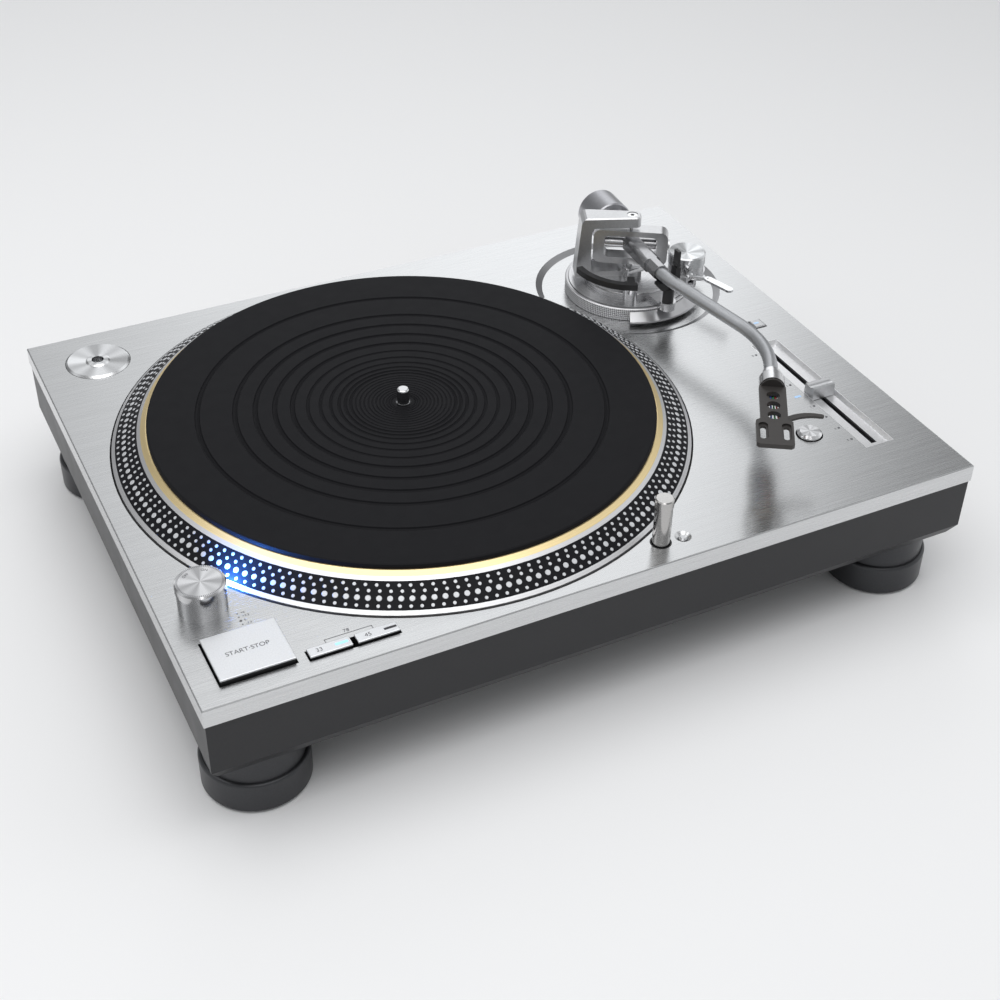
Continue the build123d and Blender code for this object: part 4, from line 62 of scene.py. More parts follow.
# Sizes and places shared with the model, in millimetres, and directions in degrees
PLATE_TOP = 86.0
SPINDLE = (-49.0, -0.5)
PIVOT_REACH = 215.0
PIVOT_BEARING = 23.13
PIVOT = (SPINDLE[0] + PIVOT_REACH * cos(radians(PIVOT_BEARING)),
         SPINDLE[1] + PIVOT_REACH * sin(radians(PIVOT_BEARING)))
ARM_Z = PLATE_TOP + 32.0
TOWER = (-202.8, -102.6)
ADAPTER = (-190.7, 140.5)
RESET = (159.3, -108.4)
SKATE = (PIVOT[0] + 37.9, PIVOT[1] - 9.8)
LAMP = (30.6, -156.7)
DISH_RADIUS = 60.6
DISH_DEPTH = 1.97
SHELL_HEADING = -32.0
ROOT_HEADING = -3.5
NECK = (PIVOT[0] - 12.89, PIVOT[1] - 182.2, ARM_Z)


def heading(angle):
    """The unit direction at this angle from -Y, positive towards +X."""
    return Vector((sin(radians(angle)), -cos(radians(angle)), 0.0))


# Materials


def shader_input(made, socket):
    """One socket of a material's shader."""
    return made.node_tree.nodes["Principled BSDF"].inputs[socket]


def new_material(name, colour, metallic, roughness, **sockets):
    """A material with these plain values on its shader's sockets."""
    made = bpy.data.materials.new(name)
    made.use_nodes = True
    shader_input(made, "Base Color").default_value = (*colour, 1.0)
    shader_input(made, "Metallic").default_value = metallic
    shader_input(made, "Roughness").default_value = roughness
    for socket, value in sockets.items():
        shader_input(made, socket.replace("_", " ")).default_value = value
    return made


def node(made, kind, **inputs):
    """A node of this kind, with values or links for its sockets."""
    added = made.node_tree.nodes.new(kind)
    for socket, value in inputs.items():
        target = added.inputs[int(socket[1:])] if socket[1:].isdigit() else added.inputs[socket]
        if isinstance(value, bpy.types.NodeSocket):
            made.node_tree.links.new(value, target)
        else:
            target.default_value = value
    return added


def place(made, scale=(1.0, 1.0, 1.0), centre=ORIGIN):
    """Object coordinates measured from a centre in millimetres and then scaled."""
    coordinates = node(made, "ShaderNodeTexCoord").outputs["Object"]
    shifted = node(made, "ShaderNodeMapping", Vector=coordinates, Location=[-c * MM for c in centre])
    return node(made, "ShaderNodeMapping", Vector=shifted.outputs[0], Scale=scale).outputs[0]


def noise(made, vector, scale, detail=2.0):
    """The value of a noise texture."""
    return node(made, "ShaderNodeTexNoise", Vector=vector, Scale=scale, Detail=detail).outputs[0]


def maths(made, operation, a, b=0.0):
    """The result of one sum."""
    added = node(made, "ShaderNodeMath", _0=a, _1=b)
    added.operation = operation
    return added.outputs[0]


def polar(made, centre):
    """The radius, angle and height of each point round an upright axis."""
    x, y, z = node(made, "ShaderNodeSeparateXYZ", _0=place(made, centre=(*centre, 0.0))).outputs
    squares = maths(made, "ADD", maths(made, "MULTIPLY", x, x), maths(made, "MULTIPLY", y, y))
    return maths(made, "SQRT", squares), maths(made, "ARCTAN2", y, x), z


def ramp(made, value, stops):
    """A colour that follows a value through these stops."""
    added = node(made, "ShaderNodeValToRGB", Fac=value)
    elements = added.color_ramp.elements
    first, last = elements[0], elements[1]
    last.position, last.color = stops[-1][0], (*stops[-1][1], 1.0)
    first.position, first.color = stops[0][0], (*stops[0][1], 1.0)
    for position, colour in stops[1:-1]:
        elements.new(position).color = (*colour, 1.0)
    return added.outputs[0]


def into(made, value, socket):
    """Links a value to one of the shader's sockets."""
    made.node_tree.links.new(value, shader_input(made, socket))


def spread(made, value, low, high):
    """Varies the roughness between two limits."""
    into(made, node(made, "ShaderNodeMapRange", _0=value, _3=low, _4=high).outputs[0], "Roughness")


def relief(made, height, strength, depth):
    """Bumps the surface by this height, with its depth in millimetres."""
    added = node(made, "ShaderNodeBump", Strength=strength, Distance=depth * MM, Height=height)
    into(made, added.outputs["Normal"], "Normal")


def shade(colour, factor):
    """A darker or lighter shade of a colour."""
    return tuple(min(1.0, c * factor) for c in colour)


def tint(made, value, colour, darker, lighter):
    """Varies the base colour between two shades of a colour."""
    into(made, ramp(made, value, ((0.3, shade(colour, darker)), (0.7, shade(colour, lighter)))), "Base Color")


HAIRLINES = (40.0, 4200.0, 4200.0)
HAIRLINE_DEPTH = 0.02


def brushed(name, colour, roughness):
    """Metal with straight hairlines along X."""
    made = new_material(name, colour, 1.0, roughness)
    fine = noise(made, place(made, scale=HAIRLINES), 1.0, 3.0)
    broad = noise(made, place(made, scale=tuple(v / 6.0 for v in HAIRLINES)), 1.0)
    both = maths(made, "ADD", maths(made, "MULTIPLY", fine, 0.75), maths(made, "MULTIPLY", broad, 0.25))
    tint(made, both, colour, 0.9, 1.07)
    spread(made, both, roughness - 0.06, roughness + 0.08)
    relief(made, both, 0.25, HAIRLINE_DEPTH)
    return made


def satin(name, colour, roughness, metallic=1.0, grain=900.0, depth=0.01):
    """Metal or plastic with a fine even grain."""
    made = new_material(name, colour, metallic, roughness)
    fine = noise(made, place(made), grain, 3.0)
    tint(made, fine, colour, 0.93, 1.05)
    spread(made, noise(made, place(made), grain / 12.0), roughness - 0.05, roughness + 0.06)
    relief(made, fine, 0.2, depth)
    return made


LATHE_RINGS = 4000.0
LATHE_DEPTH = 0.012


def turned(name, colour, roughness, centre):
    """Metal with the fine circles of a lathe round an upright axis."""
    made = new_material(name, colour, 1.0, roughness)
    radius, angle, height = polar(made, centre)
    joined = node(made, "ShaderNodeCombineXYZ", _0=maths(made, "MULTIPLY", radius, LATHE_RINGS),
                  _1=maths(made, "MULTIPLY", angle, 0.6), _2=maths(made, "MULTIPLY", height, LATHE_RINGS))
    lines = noise(made, joined.outputs[0], 1.0)
    tint(made, lines, colour, 0.92, 1.06)
    spread(made, lines, roughness - 0.04, roughness + 0.05)
    relief(made, lines, 0.2, LATHE_DEPTH)
    return made


# Shades of the colour for painted reflections: the fans of light and dark on turned metal
PAINTED_REFLECTION_FANS = ((0.1, 0.62), (0.45, 0.86), (0.62, 0.98), (0.85, 1.12))


def spun(name, colour, roughness, centre):
    """Metal faced on a lathe, with the fans of light and dark that its circles give painted into its colour
    as painted reflections.
    """
    made = new_material(name, colour, 1.0, roughness, Anisotropic=0.6)
    circles = node(made, "ShaderNodeTangent")
    circles.direction_type = "RADIAL"
    circles.axis = "Z"
    into(made, circles.outputs[0], "Tangent")
    angle = polar(made, centre)[1]
    wide = maths(made, "SINE", maths(made, "MULTIPLY", angle, 3.0))
    narrow = maths(made, "SINE", maths(made, "ADD", maths(made, "MULTIPLY", angle, 7.0), 1.0))
    painted_fans = maths(made, "ADD", maths(made, "MULTIPLY", maths(made, "ADD", wide, narrow), 0.25), 0.5)
    into(made, ramp(made, painted_fans, [(at, shade(colour, factor)) for at, factor in PAINTED_REFLECTION_FANS]), "Base Color")
    return made


KNURL_TEETH = 200.0
KNURL_RINGS = 4800.0
KNURL_WALL = (41.1, 41.8)
KNURL_DEPTH = 0.25
KNURL_GROOVE_SHADE = (0.2, 0.2, 0.21)
KNURL_CREST_HIGHLIGHT = (0.62, 0.62, 0.63)


def knurled(made, centre):
    """Adds a crossed knurl to a round wall, with painted shade in its grooves and a painted highlight on its
    crests.
    """
    radius, angle, height = polar(made, centre)
    across = maths(made, "SINE", maths(made, "MULTIPLY", angle, KNURL_TEETH))
    up = maths(made, "SINE", maths(made, "MULTIPLY", height, KNURL_RINGS))
    on_wall = maths(made, "MULTIPLY", maths(made, "GREATER_THAN", radius, KNURL_WALL[0] * MM),
                    maths(made, "LESS_THAN", radius, KNURL_WALL[1] * MM))
    pattern = maths(made, "MULTIPLY", maths(made, "ADD", across, up), on_wall)
    relief(made, pattern, 0.6, KNURL_DEPTH)
    # Painted shade and highlight: the colour follows the knurl, darker in its grooves and lighter on its
    # crests
    level = maths(made, "MULTIPLY", maths(made, "ADD", pattern, 2.0), 0.25)
    into(made, ramp(made, level, ((0.3, KNURL_GROOVE_SHADE), (0.55, KNURL_CREST_HIGHLIGHT))), "Base Color")
    return made


def glowing(name, colour, light, strength):
    """A lens lit from behind."""
    made = new_material(name, colour, 0.0, 0.25, Emission_Color=(*light, 1.0), Emission_Strength=strength)
    tint(made, noise(made, place(made), 400.0), colour, 0.85, 1.0)
    return made


plate_metal = brushed("brushed_plate", (0.66, 0.665, 0.67), 0.26)
rubber = satin("black_rubber", (0.008, 0.008, 0.0095), 0.6, 0.0, 1500.0, 0.02)
black_paint = satin("black_paint", (0.021, 0.021, 0.023), 0.38, 0.0, 700.0, 0.004)
foot_paint = satin("foot_grey", (0.055, 0.056, 0.06), 0.36, 0.6, 900.0, 0.008)
black_plastic = satin("black_plastic", (0.014, 0.014, 0.015), 0.38, 0.0, 1400.0, 0.01)
satin_silver = satin("satin_silver", (0.66, 0.665, 0.675), 0.34)
base_silver = satin("base_silver", (0.6, 0.602, 0.61), 0.3)
polished = satin("polished_metal", (0.8, 0.8, 0.81), 0.12, 1.0, 400.0, 0.002)
dark_steel = satin("dark_steel", (0.3, 0.3, 0.32), 0.4)
board_green = satin("board_green", (0.02, 0.12, 0.05), 0.45, 0.0)
gold = satin("gold_plate", (0.85, 0.62, 0.25), 0.2)
band_black = turned("band_black", (0.009, 0.009, 0.011), 0.45, SPINDLE)
shader_input(band_black, "Metallic").default_value = 0.0
for dull, level in ((rubber, 0.1), (black_paint, 0.35), (band_black, 0.1)):
    shader_input(dull, "Specular IOR Level").default_value = level

# Spindle: a bright pin over a shoulder painted near black, as painted shade
PIN_RADIUS = 3.75
PIN_SILVER = (0.6, 0.6, 0.61)
SHOULDER_PAINTED_SHADE = (0.02, 0.02, 0.022)
pin_metal = satin("pin_metal", PIN_SILVER, 0.12, 1.0, 400.0, 0.002)
# Painted shade: past the pin's radius the colour turns near black
past_pin = maths(pin_metal, "GREATER_THAN", polar(pin_metal, SPINDLE)[0], PIN_RADIUS * MM)
into(pin_metal, ramp(pin_metal, past_pin, ((0.4, PIN_SILVER), (0.6, SHOULDER_PAINTED_SHADE))), "Base Color")

finishes = {
    "top_plate": plate_metal,
    "cabinet": black_paint,
    "base_slab": rubber,
    "foot_front_left": foot_paint,
    "foot_front_right": foot_paint,
    "foot_rear_left": foot_paint,
    "foot_rear_right": foot_paint,
    "chassis": black_plastic,
    "motor_board": board_green,
    "stator_coils": satin("copper_wire", (0.7, 0.33, 0.15), 0.35),
    "bearing_housing": satin("inner_brass", (0.75, 0.55, 0.25), 0.3),
    "circuit_boards": board_green,
    "transformer": dark_steel,
    "button_tray": black_plastic,
    "switches": black_plastic,
    "terminal_panel": black_plastic,
    "rear_sockets": gold,
    "mains_inlet": black_plastic,
    "fader_trough": satin("trough_metal", (0.9, 0.9, 0.91), 0.3),
    "fader_case": dark_steel,
    "strobe_tower": spun("tower_metal", (0.66, 0.66, 0.67), 0.16, TOWER),
    "strobe_window": glowing("window_blue", (0.15, 0.4, 1.0), (0.08, 0.3, 1.0), 6.0),
    "target_sleeve": black_plastic,
    "arm_base_guide": dark_steel,
    "platter": turned("rim_metal", (0.68, 0.68, 0.69), 0.44, SPINDLE),
    "platter_damper": rubber,
    "strobe_band": band_black,
    "brass_plate": turned("brass_ring", (0.84, 0.68, 0.38), 0.44, SPINDLE),
    "platter_mat": rubber,
    "spindle": pin_metal,
    "rotor_disc": dark_steel,
    "rotor_magnet": dark_steel,
    "record_adapter": spun("adapter_metal", (0.82, 0.825, 0.835), 0.24, ADAPTER),
    "power_knob": spun("power_knob_metal", (0.7, 0.7, 0.71), 0.16, TOWER),
    "start_stop_button": satin_silver,
    "speed_33_button": satin_silver,
    "speed_45_button": satin_silver,
    "double_range_button": satin_silver,
    "reset_button": spun("reset_metal", (0.82, 0.82, 0.83), 0.2, RESET),
    "release_button": satin_silver,
    "target_light": satin("lamp_metal", (0.5, 0.49, 0.48), 0.16, 1.0, 1600.0, 0.002),
    "fader_knob": satin_silver,
    "height_ring": knurled(satin("ring_metal", (0.54, 0.54, 0.55), 0.3), PIVOT),
    "arm_base": turned("base_metal", (0.6, 0.6, 0.61), 0.26, PIVOT),
    "arm_yoke": base_silver,
    "pivot_screws": polished,
    "arm_rest": black_plastic,
    "rest_clip": black_plastic,
    "skate_knob": spun("skate_metal", (0.66, 0.67, 0.68), 0.18, SKATE),
    "cue_bracket": base_silver,
    "cue_lever": polished,
    "lifter": black_plastic,
    "lifter_post": polished,
    "gimbal_ring": satin("gimbal_silver", (0.62, 0.622, 0.63), 0.3),
    "arm_hub": satin("hub_silver", (0.46, 0.46, 0.47), 0.24),
    "arm_tube": satin("tube_silver", (0.48, 0.49, 0.505), 0.42),
    "headshell": satin("shell_black", (0.05, 0.046, 0.044), 0.42, 0.4, 1400.0, 0.008),
    "locking_nut": satin("nut_metal", (0.78, 0.78, 0.79), 0.22),
    "force_dial": satin("dial_metal", (0.68, 0.68, 0.69), 0.26),
    "counterweight": satin("weight_grey", (0.42, 0.42, 0.44), 0.3),
}
for name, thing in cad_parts.items():
    thing.data.materials.clear()
    thing.data.materials.append(finishes[name])

# Helpers for the pieces, in millimetres and degrees


def mesh_of_shape(shape, name):
    """The mesh of a finished bmesh."""
    mesh = bpy.data.meshes.new(name)
    shape.to_mesh(mesh)
    shape.free()
    return mesh


def mesh_of_curve(curve):
    """The mesh of a curve or a text, whose own object is only there meanwhile."""
    thing = add_object(curve.name, curve)
    bpy.context.view_layer.update()
    mesh = bpy.data.meshes.new_from_object(thing)
    bpy.data.objects.remove(thing)
    return mesh


def finish_piece(name, mesh, material, body, smooth=False):
    """Puts a finished mesh in the scene and lets it ride on its body."""
    thing = add_object(name, mesh)
    mesh.materials.append(material)
    for face in mesh.polygons:
        face.use_smooth = smooth
    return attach(thing, body)


def from_bmesh(name, shape, material, body):
    """Makes a piece of a finished bmesh."""
    bmesh.ops.recalc_face_normals(shape, faces=shape.faces)
    return finish_piece(name, mesh_of_shape(shape, name), material, body)


def shift(shape, verts, way):
    """Moves vertices by this much along each axis."""
    bmesh.ops.translate(shape, verts=verts, vec=[w * MM for w in way])


def swing(shape, verts, angle, axis="Z"):
    """Turns vertices about an axis through the origin."""
    bmesh.ops.rotate(shape, verts=verts, cent=ORIGIN, matrix=Matrix.Rotation(radians(angle), 3, axis))


def aim(shape, verts, way):
    """Turns vertices about the origin, so that what pointed up points this way."""
    matrix = UPWARDS.rotation_difference(Vector(way)).to_matrix()
    bmesh.ops.rotate(shape, verts=verts, cent=ORIGIN, matrix=matrix)


def box(shape, size):
    """Adds a plain block round the origin."""
    made = bmesh.ops.create_cube(shape, size=1.0)["verts"]
    bmesh.ops.scale(shape, vec=[s * MM for s in size], verts=made)
    return made


def block(shape, centre, size, bevel=0.0):
    """Adds a block at a place, with eased edges where asked."""
    made = box(shape, size)
    if bevel:
        edges = {e for v in made for e in v.link_edges}
        made = bmesh.ops.bevel(
            shape, geom=list(edges), offset=bevel * MM, segments=2, profile=0.5,
            affect="EDGES", material=-1,
        )["verts"]
    shift(shape, made, centre)


def disc(shape, centre, radius, thick, sides=24, facing=UPWARDS, narrowing=1.0):
    """Adds a flat cylinder at a place, facing a direction and narrower at its far end where asked."""
    made = bmesh.ops.create_cone(
        shape, cap_ends=True, segments=sides, radius1=radius * MM,
        radius2=radius * narrowing * MM, depth=thick * MM,
    )["verts"]
    aim(shape, made, facing)
    shift(shape, made, centre)


def ticks(shape, centre, count, radius, size, z, start=0.0, sweep=360.0, tilt=0.0):
    """Adds short radial marks round an upright axis, sloping outwards where asked."""
    for step in range(count):
        made = box(shape, size)
        swing(shape, made, tilt, "Y")
        shift(shape, made, (radius, 0.0, z))
        swing(shape, made, start + sweep * step / count)
        shift(shape, made, (*centre, 0.0))


def lathe(name, outline, centre, steps, material, body, start=0.0, sweep=360.0):
    """Turns a closed outline of radius and height round an upright axis, all or part of the way."""
    shape = bmesh.new()
    x, y = (c * MM for c in centre)
    corners = [shape.verts.new((x + r * MM, y, z * MM)) for r, z in outline]
    edges = [shape.edges.new((a, b)) for a, b in zip(corners, corners[1:] + corners[:1])]
    to_start = Matrix.Rotation(radians(start), 3, "Z")
    bmesh.ops.rotate(shape, verts=corners, cent=(x, y, 0.0), matrix=to_start)
    bmesh.ops.spin(
        shape, geom=corners + edges, cent=(x, y, 0.0), axis=UPWARDS,
        angle=radians(sweep), steps=steps, use_merge=sweep == 360.0,
    )
    bmesh.ops.remove_doubles(shape, verts=shape.verts, dist=1e-7)
    if sweep < 360.0:
        bmesh.ops.holes_fill(shape, edges=[e for e in shape.edges if e.is_boundary])
    return from_bmesh(name, shape, material, body)


LEVEL = Matrix.Identity(4)
REARWARDS = Matrix(((-1, 0, 0, 0), (0, 0, 1, 0), (0, 1, 0, 0), (0, 0, 0, 1)))
PRINT_DEPTH = 0.05


def words(name, text, size, centre, z, material, body, turn=0.0, align="CENTER", facing=LEVEL):
    """Flat printed characters, level or facing another way."""
    curve = bpy.data.curves.new(name, "FONT")
    curve.body = text
    curve.size = size * MM
    curve.align_x = align
    curve.align_y = "CENTER"
    curve.extrude = PRINT_DEPTH * MM / 2.0
    mesh = mesh_of_curve(curve)
    turned_round = facing @ Matrix.Rotation(radians(turn), 4, "Z")
    mesh.transform(Matrix.Translation((centre[0] * MM, centre[1] * MM, z * MM)) @ turned_round)
    return finish_piece(name, mesh, material, body)


# Mat: rubber with a groove every few millimetres, closer towards the spindle
MAT_RADIUS = 145.2
MAT_HOLE = 3.65
MAT_BOTTOM = PLATE_TOP + 13.4
MAT_TOP = MAT_BOTTOM + 2.8
GROOVES = (116.7, 95.7, 84.2, 73.2, 63.2, 54.5, 47.3, 41.5, 36.7, 33.1, 30.1, 27.3, 24.8, 22.4,
           20.0, 17.8, 15.6, 13.5, 11.5, 9.6, 8.1, 6.8)
outline = [(MAT_HOLE, MAT_BOTTOM), (MAT_RADIUS, MAT_BOTTOM), (MAT_RADIUS, MAT_TOP - 1.2),
           (MAT_RADIUS - 0.35, MAT_TOP - 0.35), (MAT_RADIUS - 1.2, MAT_TOP)]
for radius in GROOVES:
    half = 1.5 if radius > 60.0 else 1.0 if radius > 30.0 else 0.5
    for along, depth in ((1.0, 0.0), (0.7, 0.5), (0.0, 0.8), (-0.7, 0.5), (-1.0, 0.0)):
        outline.append((radius + half * along, MAT_TOP - half * depth))
outline.append((MAT_HOLE, MAT_TOP))
mat = lathe("grooved_mat", outline, SPINDLE, 160, rubber, "platter_group")
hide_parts("platter_mat")

# Strobe dots: four rows of low bright discs on the sloping band
BAND_INNER, BAND_TOP = 151.0, 10.5
BAND_OUTER, BAND_BOTTOM = 163.9, 2.15
BAND_SLOPE = (BAND_TOP - BAND_BOTTOM) / (BAND_OUTER - BAND_INNER)
DOT_LIFT = 0.06
DOT_THICKNESS = 0.24
DOT_ROWS = ((152.9, 170, 1.0), (155.5, 174, 1.0), (158.7, 180, 1.6), (162.1, 186, 1.0))
dot_metal = satin("dot_metal", (0.62, 0.63, 0.65), 0.45, 0.4)
for row, (radius, count, size) in enumerate(DOT_ROWS):
    shape = bmesh.new()
    z = PLATE_TOP + BAND_BOTTOM + (BAND_OUTER - radius) * BAND_SLOPE + DOT_LIFT
    disc(shape, (SPINDLE[0] + radius, SPINDLE[1], z), size, DOT_THICKNESS, 12, (BAND_SLOPE, 0.0, 1.0), 0.86)
    bmesh.ops.spin(
        shape, geom=shape.verts[:] + shape.edges[:] + shape.faces[:],
        cent=(SPINDLE[0] * MM, SPINDLE[1] * MM, 0.0), axis=UPWARDS,
        angle=tau * (count - 1) / count, steps=count - 1, use_duplicate=True,
    )
    dots = from_bmesh(f"strobe_dots_{row + 1}", shape, dot_metal, "platter_group")

# Buttons: bright caps on black skirts, each with its node, place, size and rise above the plate
CAPS = {
    "start_stop": ("start_stop_button", (-193.9, -144.8), (38.4, 31.8), 3.3),
    "speed_33": ("speed_33_button", (-157.3, -159.2), (22.2, 6.4), 2.1),
    "speed_45": ("speed_45_button", (-132.5, -159.2), (22.2, 6.4), 2.1),
}
CAP_THICKNESS = 1.1
SKIRT_INSET = 0.35
SKIRT_BOTTOM = PLATE_TOP - 13.5
cap_silver = satin("cap_silver", (0.76, 0.77, 0.79), 0.38, 1.0, 1500.0, 0.004)
for body, (button, (x, y), (wide, deep), rise) in CAPS.items():
    shape = bmesh.new()
    block(shape, (x, y, PLATE_TOP + rise - CAP_THICKNESS / 2.0), (wide, deep, CAP_THICKNESS), bevel=0.3)
    cap = from_bmesh(f"{body}_cap", shape, cap_silver, body)
    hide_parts(button)
    shape = bmesh.new()
    top = PLATE_TOP + rise - CAP_THICKNESS + 0.1
    block(shape, (x, y, (SKIRT_BOTTOM + top) / 2.0),
          (wide - 2.0 * SKIRT_INSET, deep - 2.0 * SKIRT_INSET, top - SKIRT_BOTTOM))
    from_bmesh(f"{body}_skirt", shape, black_plastic, body)

# Printing on the buttons, and the bracket with its number above the two speeds
PRINT_LIFT = 0.03
PRINT_TOP = PLATE_TOP + PRINT_LIFT
MARK_THICKNESS = 0.06
ink = satin("grey_ink", (0.09, 0.09, 0.1), 0.5, 0.0)
for body, text, size, x in (("start_stop", "START·STOP", 4.0, -193.9), ("speed_33", "33", 3.6, -162.6),
                            ("speed_45", "45", 3.6, -137.2)):
    y, rise = CAPS[body][1][1], CAPS[body][3]
    words(f"{body}_words", text, size, (x, y), PRINT_TOP + rise, ink, body)
words("speed_78_words", "78", 3.2, (-145.0, -149.6), PRINT_TOP, ink, "plinth")
BRACKET_LINE = 0.35
BRACKET_FRONT, BRACKET_REAR = -153.6, -151.6
BRACKET_LEFT, BRACKET_RIGHT = -157.3, -132.4
bracket_width = BRACKET_RIGHT - BRACKET_LEFT + BRACKET_LINE
bracket_depth = BRACKET_REAR - BRACKET_FRONT + BRACKET_LINE
shape = bmesh.new()
for x, y, wide, deep in (
    (BRACKET_LEFT, (BRACKET_FRONT + BRACKET_REAR) / 2.0, BRACKET_LINE, bracket_depth),
    ((BRACKET_LEFT + BRACKET_RIGHT) / 2.0, BRACKET_REAR, bracket_width, BRACKET_LINE),
    (BRACKET_RIGHT, (BRACKET_FRONT + BRACKET_REAR) / 2.0, BRACKET_LINE, bracket_depth),
):
    block(shape, (x, y, PRINT_TOP), (wide, deep, MARK_THICKNESS))
from_bmesh("speed_bracket_line", shape, ink, "plinth")

# Lamps in the speed buttons and in the range button
lit_blue = glowing("lit_blue", (0.35, 0.65, 1.0), (0.2, 0.55, 1.0), 0.8)
pale_blue = glowing("pale_blue", (0.45, 0.62, 0.85), (0.3, 0.6, 1.0), 0.25)
unlit = satin("unlit_window", (0.03, 0.03, 0.035), 0.25, 0.0)
SPEED_LAMP = (6.6, 1.5, 0.3)
RANGE_LAMP = (3.4, 1.5, 0.3)
RANGE_RISE = 1.0
for name, (x, y), rise, size, finish, body in (
    ("lamp_33", (-151.0, -159.0), CAPS["speed_33"][3], SPEED_LAMP, lit_blue, "speed_33"),
    ("lamp_45", (-125.4, -159.0), CAPS["speed_45"][3], SPEED_LAMP, unlit, "speed_45"),
    ("range_lamp", (199.0, 6.9), RANGE_RISE, RANGE_LAMP, pale_blue, "range_key"),
):
    shape = bmesh.new()
    block(shape, (x, y, PLATE_TOP + rise - 0.02), size, bevel=0.1)
    from_bmesh(name, shape, finish, body)

# Pitch scale: fine dots with their numbers, and the lit zero mark
PITCH_ZERO = -73.2
PITCH_STEP = 12.35
PITCH_DOTS_X = 178.7
PITCH_DOT_RADIUS = 0.8
PITCH_NUMBERS_X = 176.3
SMALL_PRINT = 2.0
ZERO_LAMP_X = 175.6
ZERO_LAMP = (4.2, 1.8, 0.12)
shape = bmesh.new()
for step in (-4, -3, -2, -1, 1, 2, 3, 4):
    y = PITCH_ZERO + step * PITCH_STEP
    disc(shape, (PITCH_DOTS_X, y, PRINT_TOP), PITCH_DOT_RADIUS, MARK_THICKNESS, 12)
    words(f"pitch_number_{step + 4}", str(abs(step) * 2), SMALL_PRINT, (PITCH_NUMBERS_X, y), PRINT_TOP,
          ink, "plinth")
from_bmesh("pitch_scale_dots", shape, ink, "plinth")
shape = bmesh.new()
block(shape, (ZERO_LAMP_X, PITCH_ZERO, PRINT_TOP), ZERO_LAMP)
from_bmesh("zero_lamp", shape, pale_blue, "plinth")

# Strobe legend beside the tower: one mark for each row of dots
LEGEND_DOTS_X = -189.4
LEGEND_WORDS_X = -187.6
LEGEND = (("+6", -115.3, 0.4), ("+3.3", -118.0, 0.4), ("0", -121.0, 0.75), ("-3.3", -123.8, 0.4))
shape = bmesh.new()
for row, (label, y, size) in enumerate(LEGEND):
    disc(shape, (LEGEND_DOTS_X, y, PRINT_TOP), size, MARK_THICKNESS, 12)
    words(f"strobe_number_{row + 1}", label, SMALL_PRINT, (LEGEND_WORDS_X, y), PRINT_TOP, ink, "plinth",
          align="LEFT")
from_bmesh("strobe_legend_dots", shape, ink, "plinth")

# Power knob: fine marks round its edge and the words on its top
KNOB_TOP = PLATE_TOP + 16.52
KNOB_MARKS = 80
KNOB_MARK_RADIUS = 11.5
KNOB_MARK = (1.1, 0.3, 0.05)
KNOB_WORDS = (("power_off_words", "OFF", -5.2, 7.0, 34.0), ("power_on_words", "ON", 4.6, 7.4, -30.0))
shape = bmesh.new()
ticks(shape, TOWER, KNOB_MARKS, KNOB_MARK_RADIUS, KNOB_MARK, KNOB_TOP)
from_bmesh("power_marks", shape, ink, "power_ring")
for name, label, x, y, turn in KNOB_WORDS:
    words(name, label, 2.3, (TOWER[0] + x, TOWER[1] + y), KNOB_TOP, ink, "power_ring", turn)

# Lens in the side of the target lamp's cap, curved like its wall
LENS_BACK, LENS_FACE = 4.9, 5.14
LENS_BOTTOM, LENS_TOP = PLATE_TOP + 25.6, PLATE_TOP + 27.6
LENS_START, LENS_SWEEP = 105.7, 22.6
outline = [(LENS_BACK, LENS_BOTTOM), (LENS_FACE, LENS_BOTTOM), (LENS_FACE, LENS_TOP), (LENS_BACK, LENS_TOP)]
lens_glass = glowing("lens_glass", (0.75, 0.8, 0.85), (0.8, 0.9, 1.0), 0.2)
lathe("lamp_lens", outline, LAMP, 6, lens_glass, "lamp", LENS_START, LENS_SWEEP)

# Dish round the tonearm: its sloping edge, open towards the platter, painted darker than the plate as shade
# in the hollow
DISH_SLOPE = 4.2
DISH_BRIM = PLATE_TOP - 0.03
DISH_FLOOR = PLATE_TOP - DISH_DEPTH
DISH_HALF_GAP = 36.0
TO_SPINDLE = 180.0 + PIVOT_BEARING
outline = [(DISH_RADIUS, DISH_BRIM), (DISH_RADIUS, DISH_FLOOR), (DISH_RADIUS - DISH_SLOPE, DISH_FLOOR)]
dish_painted_shade = turned("dish_painted_shade", (0.42, 0.42, 0.43), 0.3, PIVOT)
lathe("dish_slope", outline, PIVOT, 120, dish_painted_shade, "plinth",
      TO_SPINDLE + DISH_HALF_GAP, 360.0 - 2.0 * DISH_HALF_GAP)

# Height ring: scale marks on its sloping skirt
RING_MARKS = 31
RING_MARK_RADIUS = 46.3
RING_MARK = (2.6, 0.28, 0.06)
RING_MARK_Z = PLATE_TOP + 2.6
RING_START, RING_SWEEP = -115.0, 60.0
RING_TILT = 26.9
shape = bmesh.new()
ticks(shape, PIVOT, RING_MARKS, RING_MARK_RADIUS, RING_MARK, RING_MARK_Z, RING_START, RING_SWEEP, RING_TILT)
from_bmesh("height_scale", shape, ink, "lift_ring")

# Anti-skating dial: marks round the edge of its top
SKATE_TOP = PLATE_TOP + 22.05
SKATE_MARKS = 16
SKATE_MARK_RADIUS = 10.4
SKATE_MARK = (1.0, 0.25, 0.05)
shape = bmesh.new()
ticks(shape, SKATE, SKATE_MARKS, SKATE_MARK_RADIUS, SKATE_MARK, SKATE_TOP)
from_bmesh("skate_marks", shape, ink, "skate")

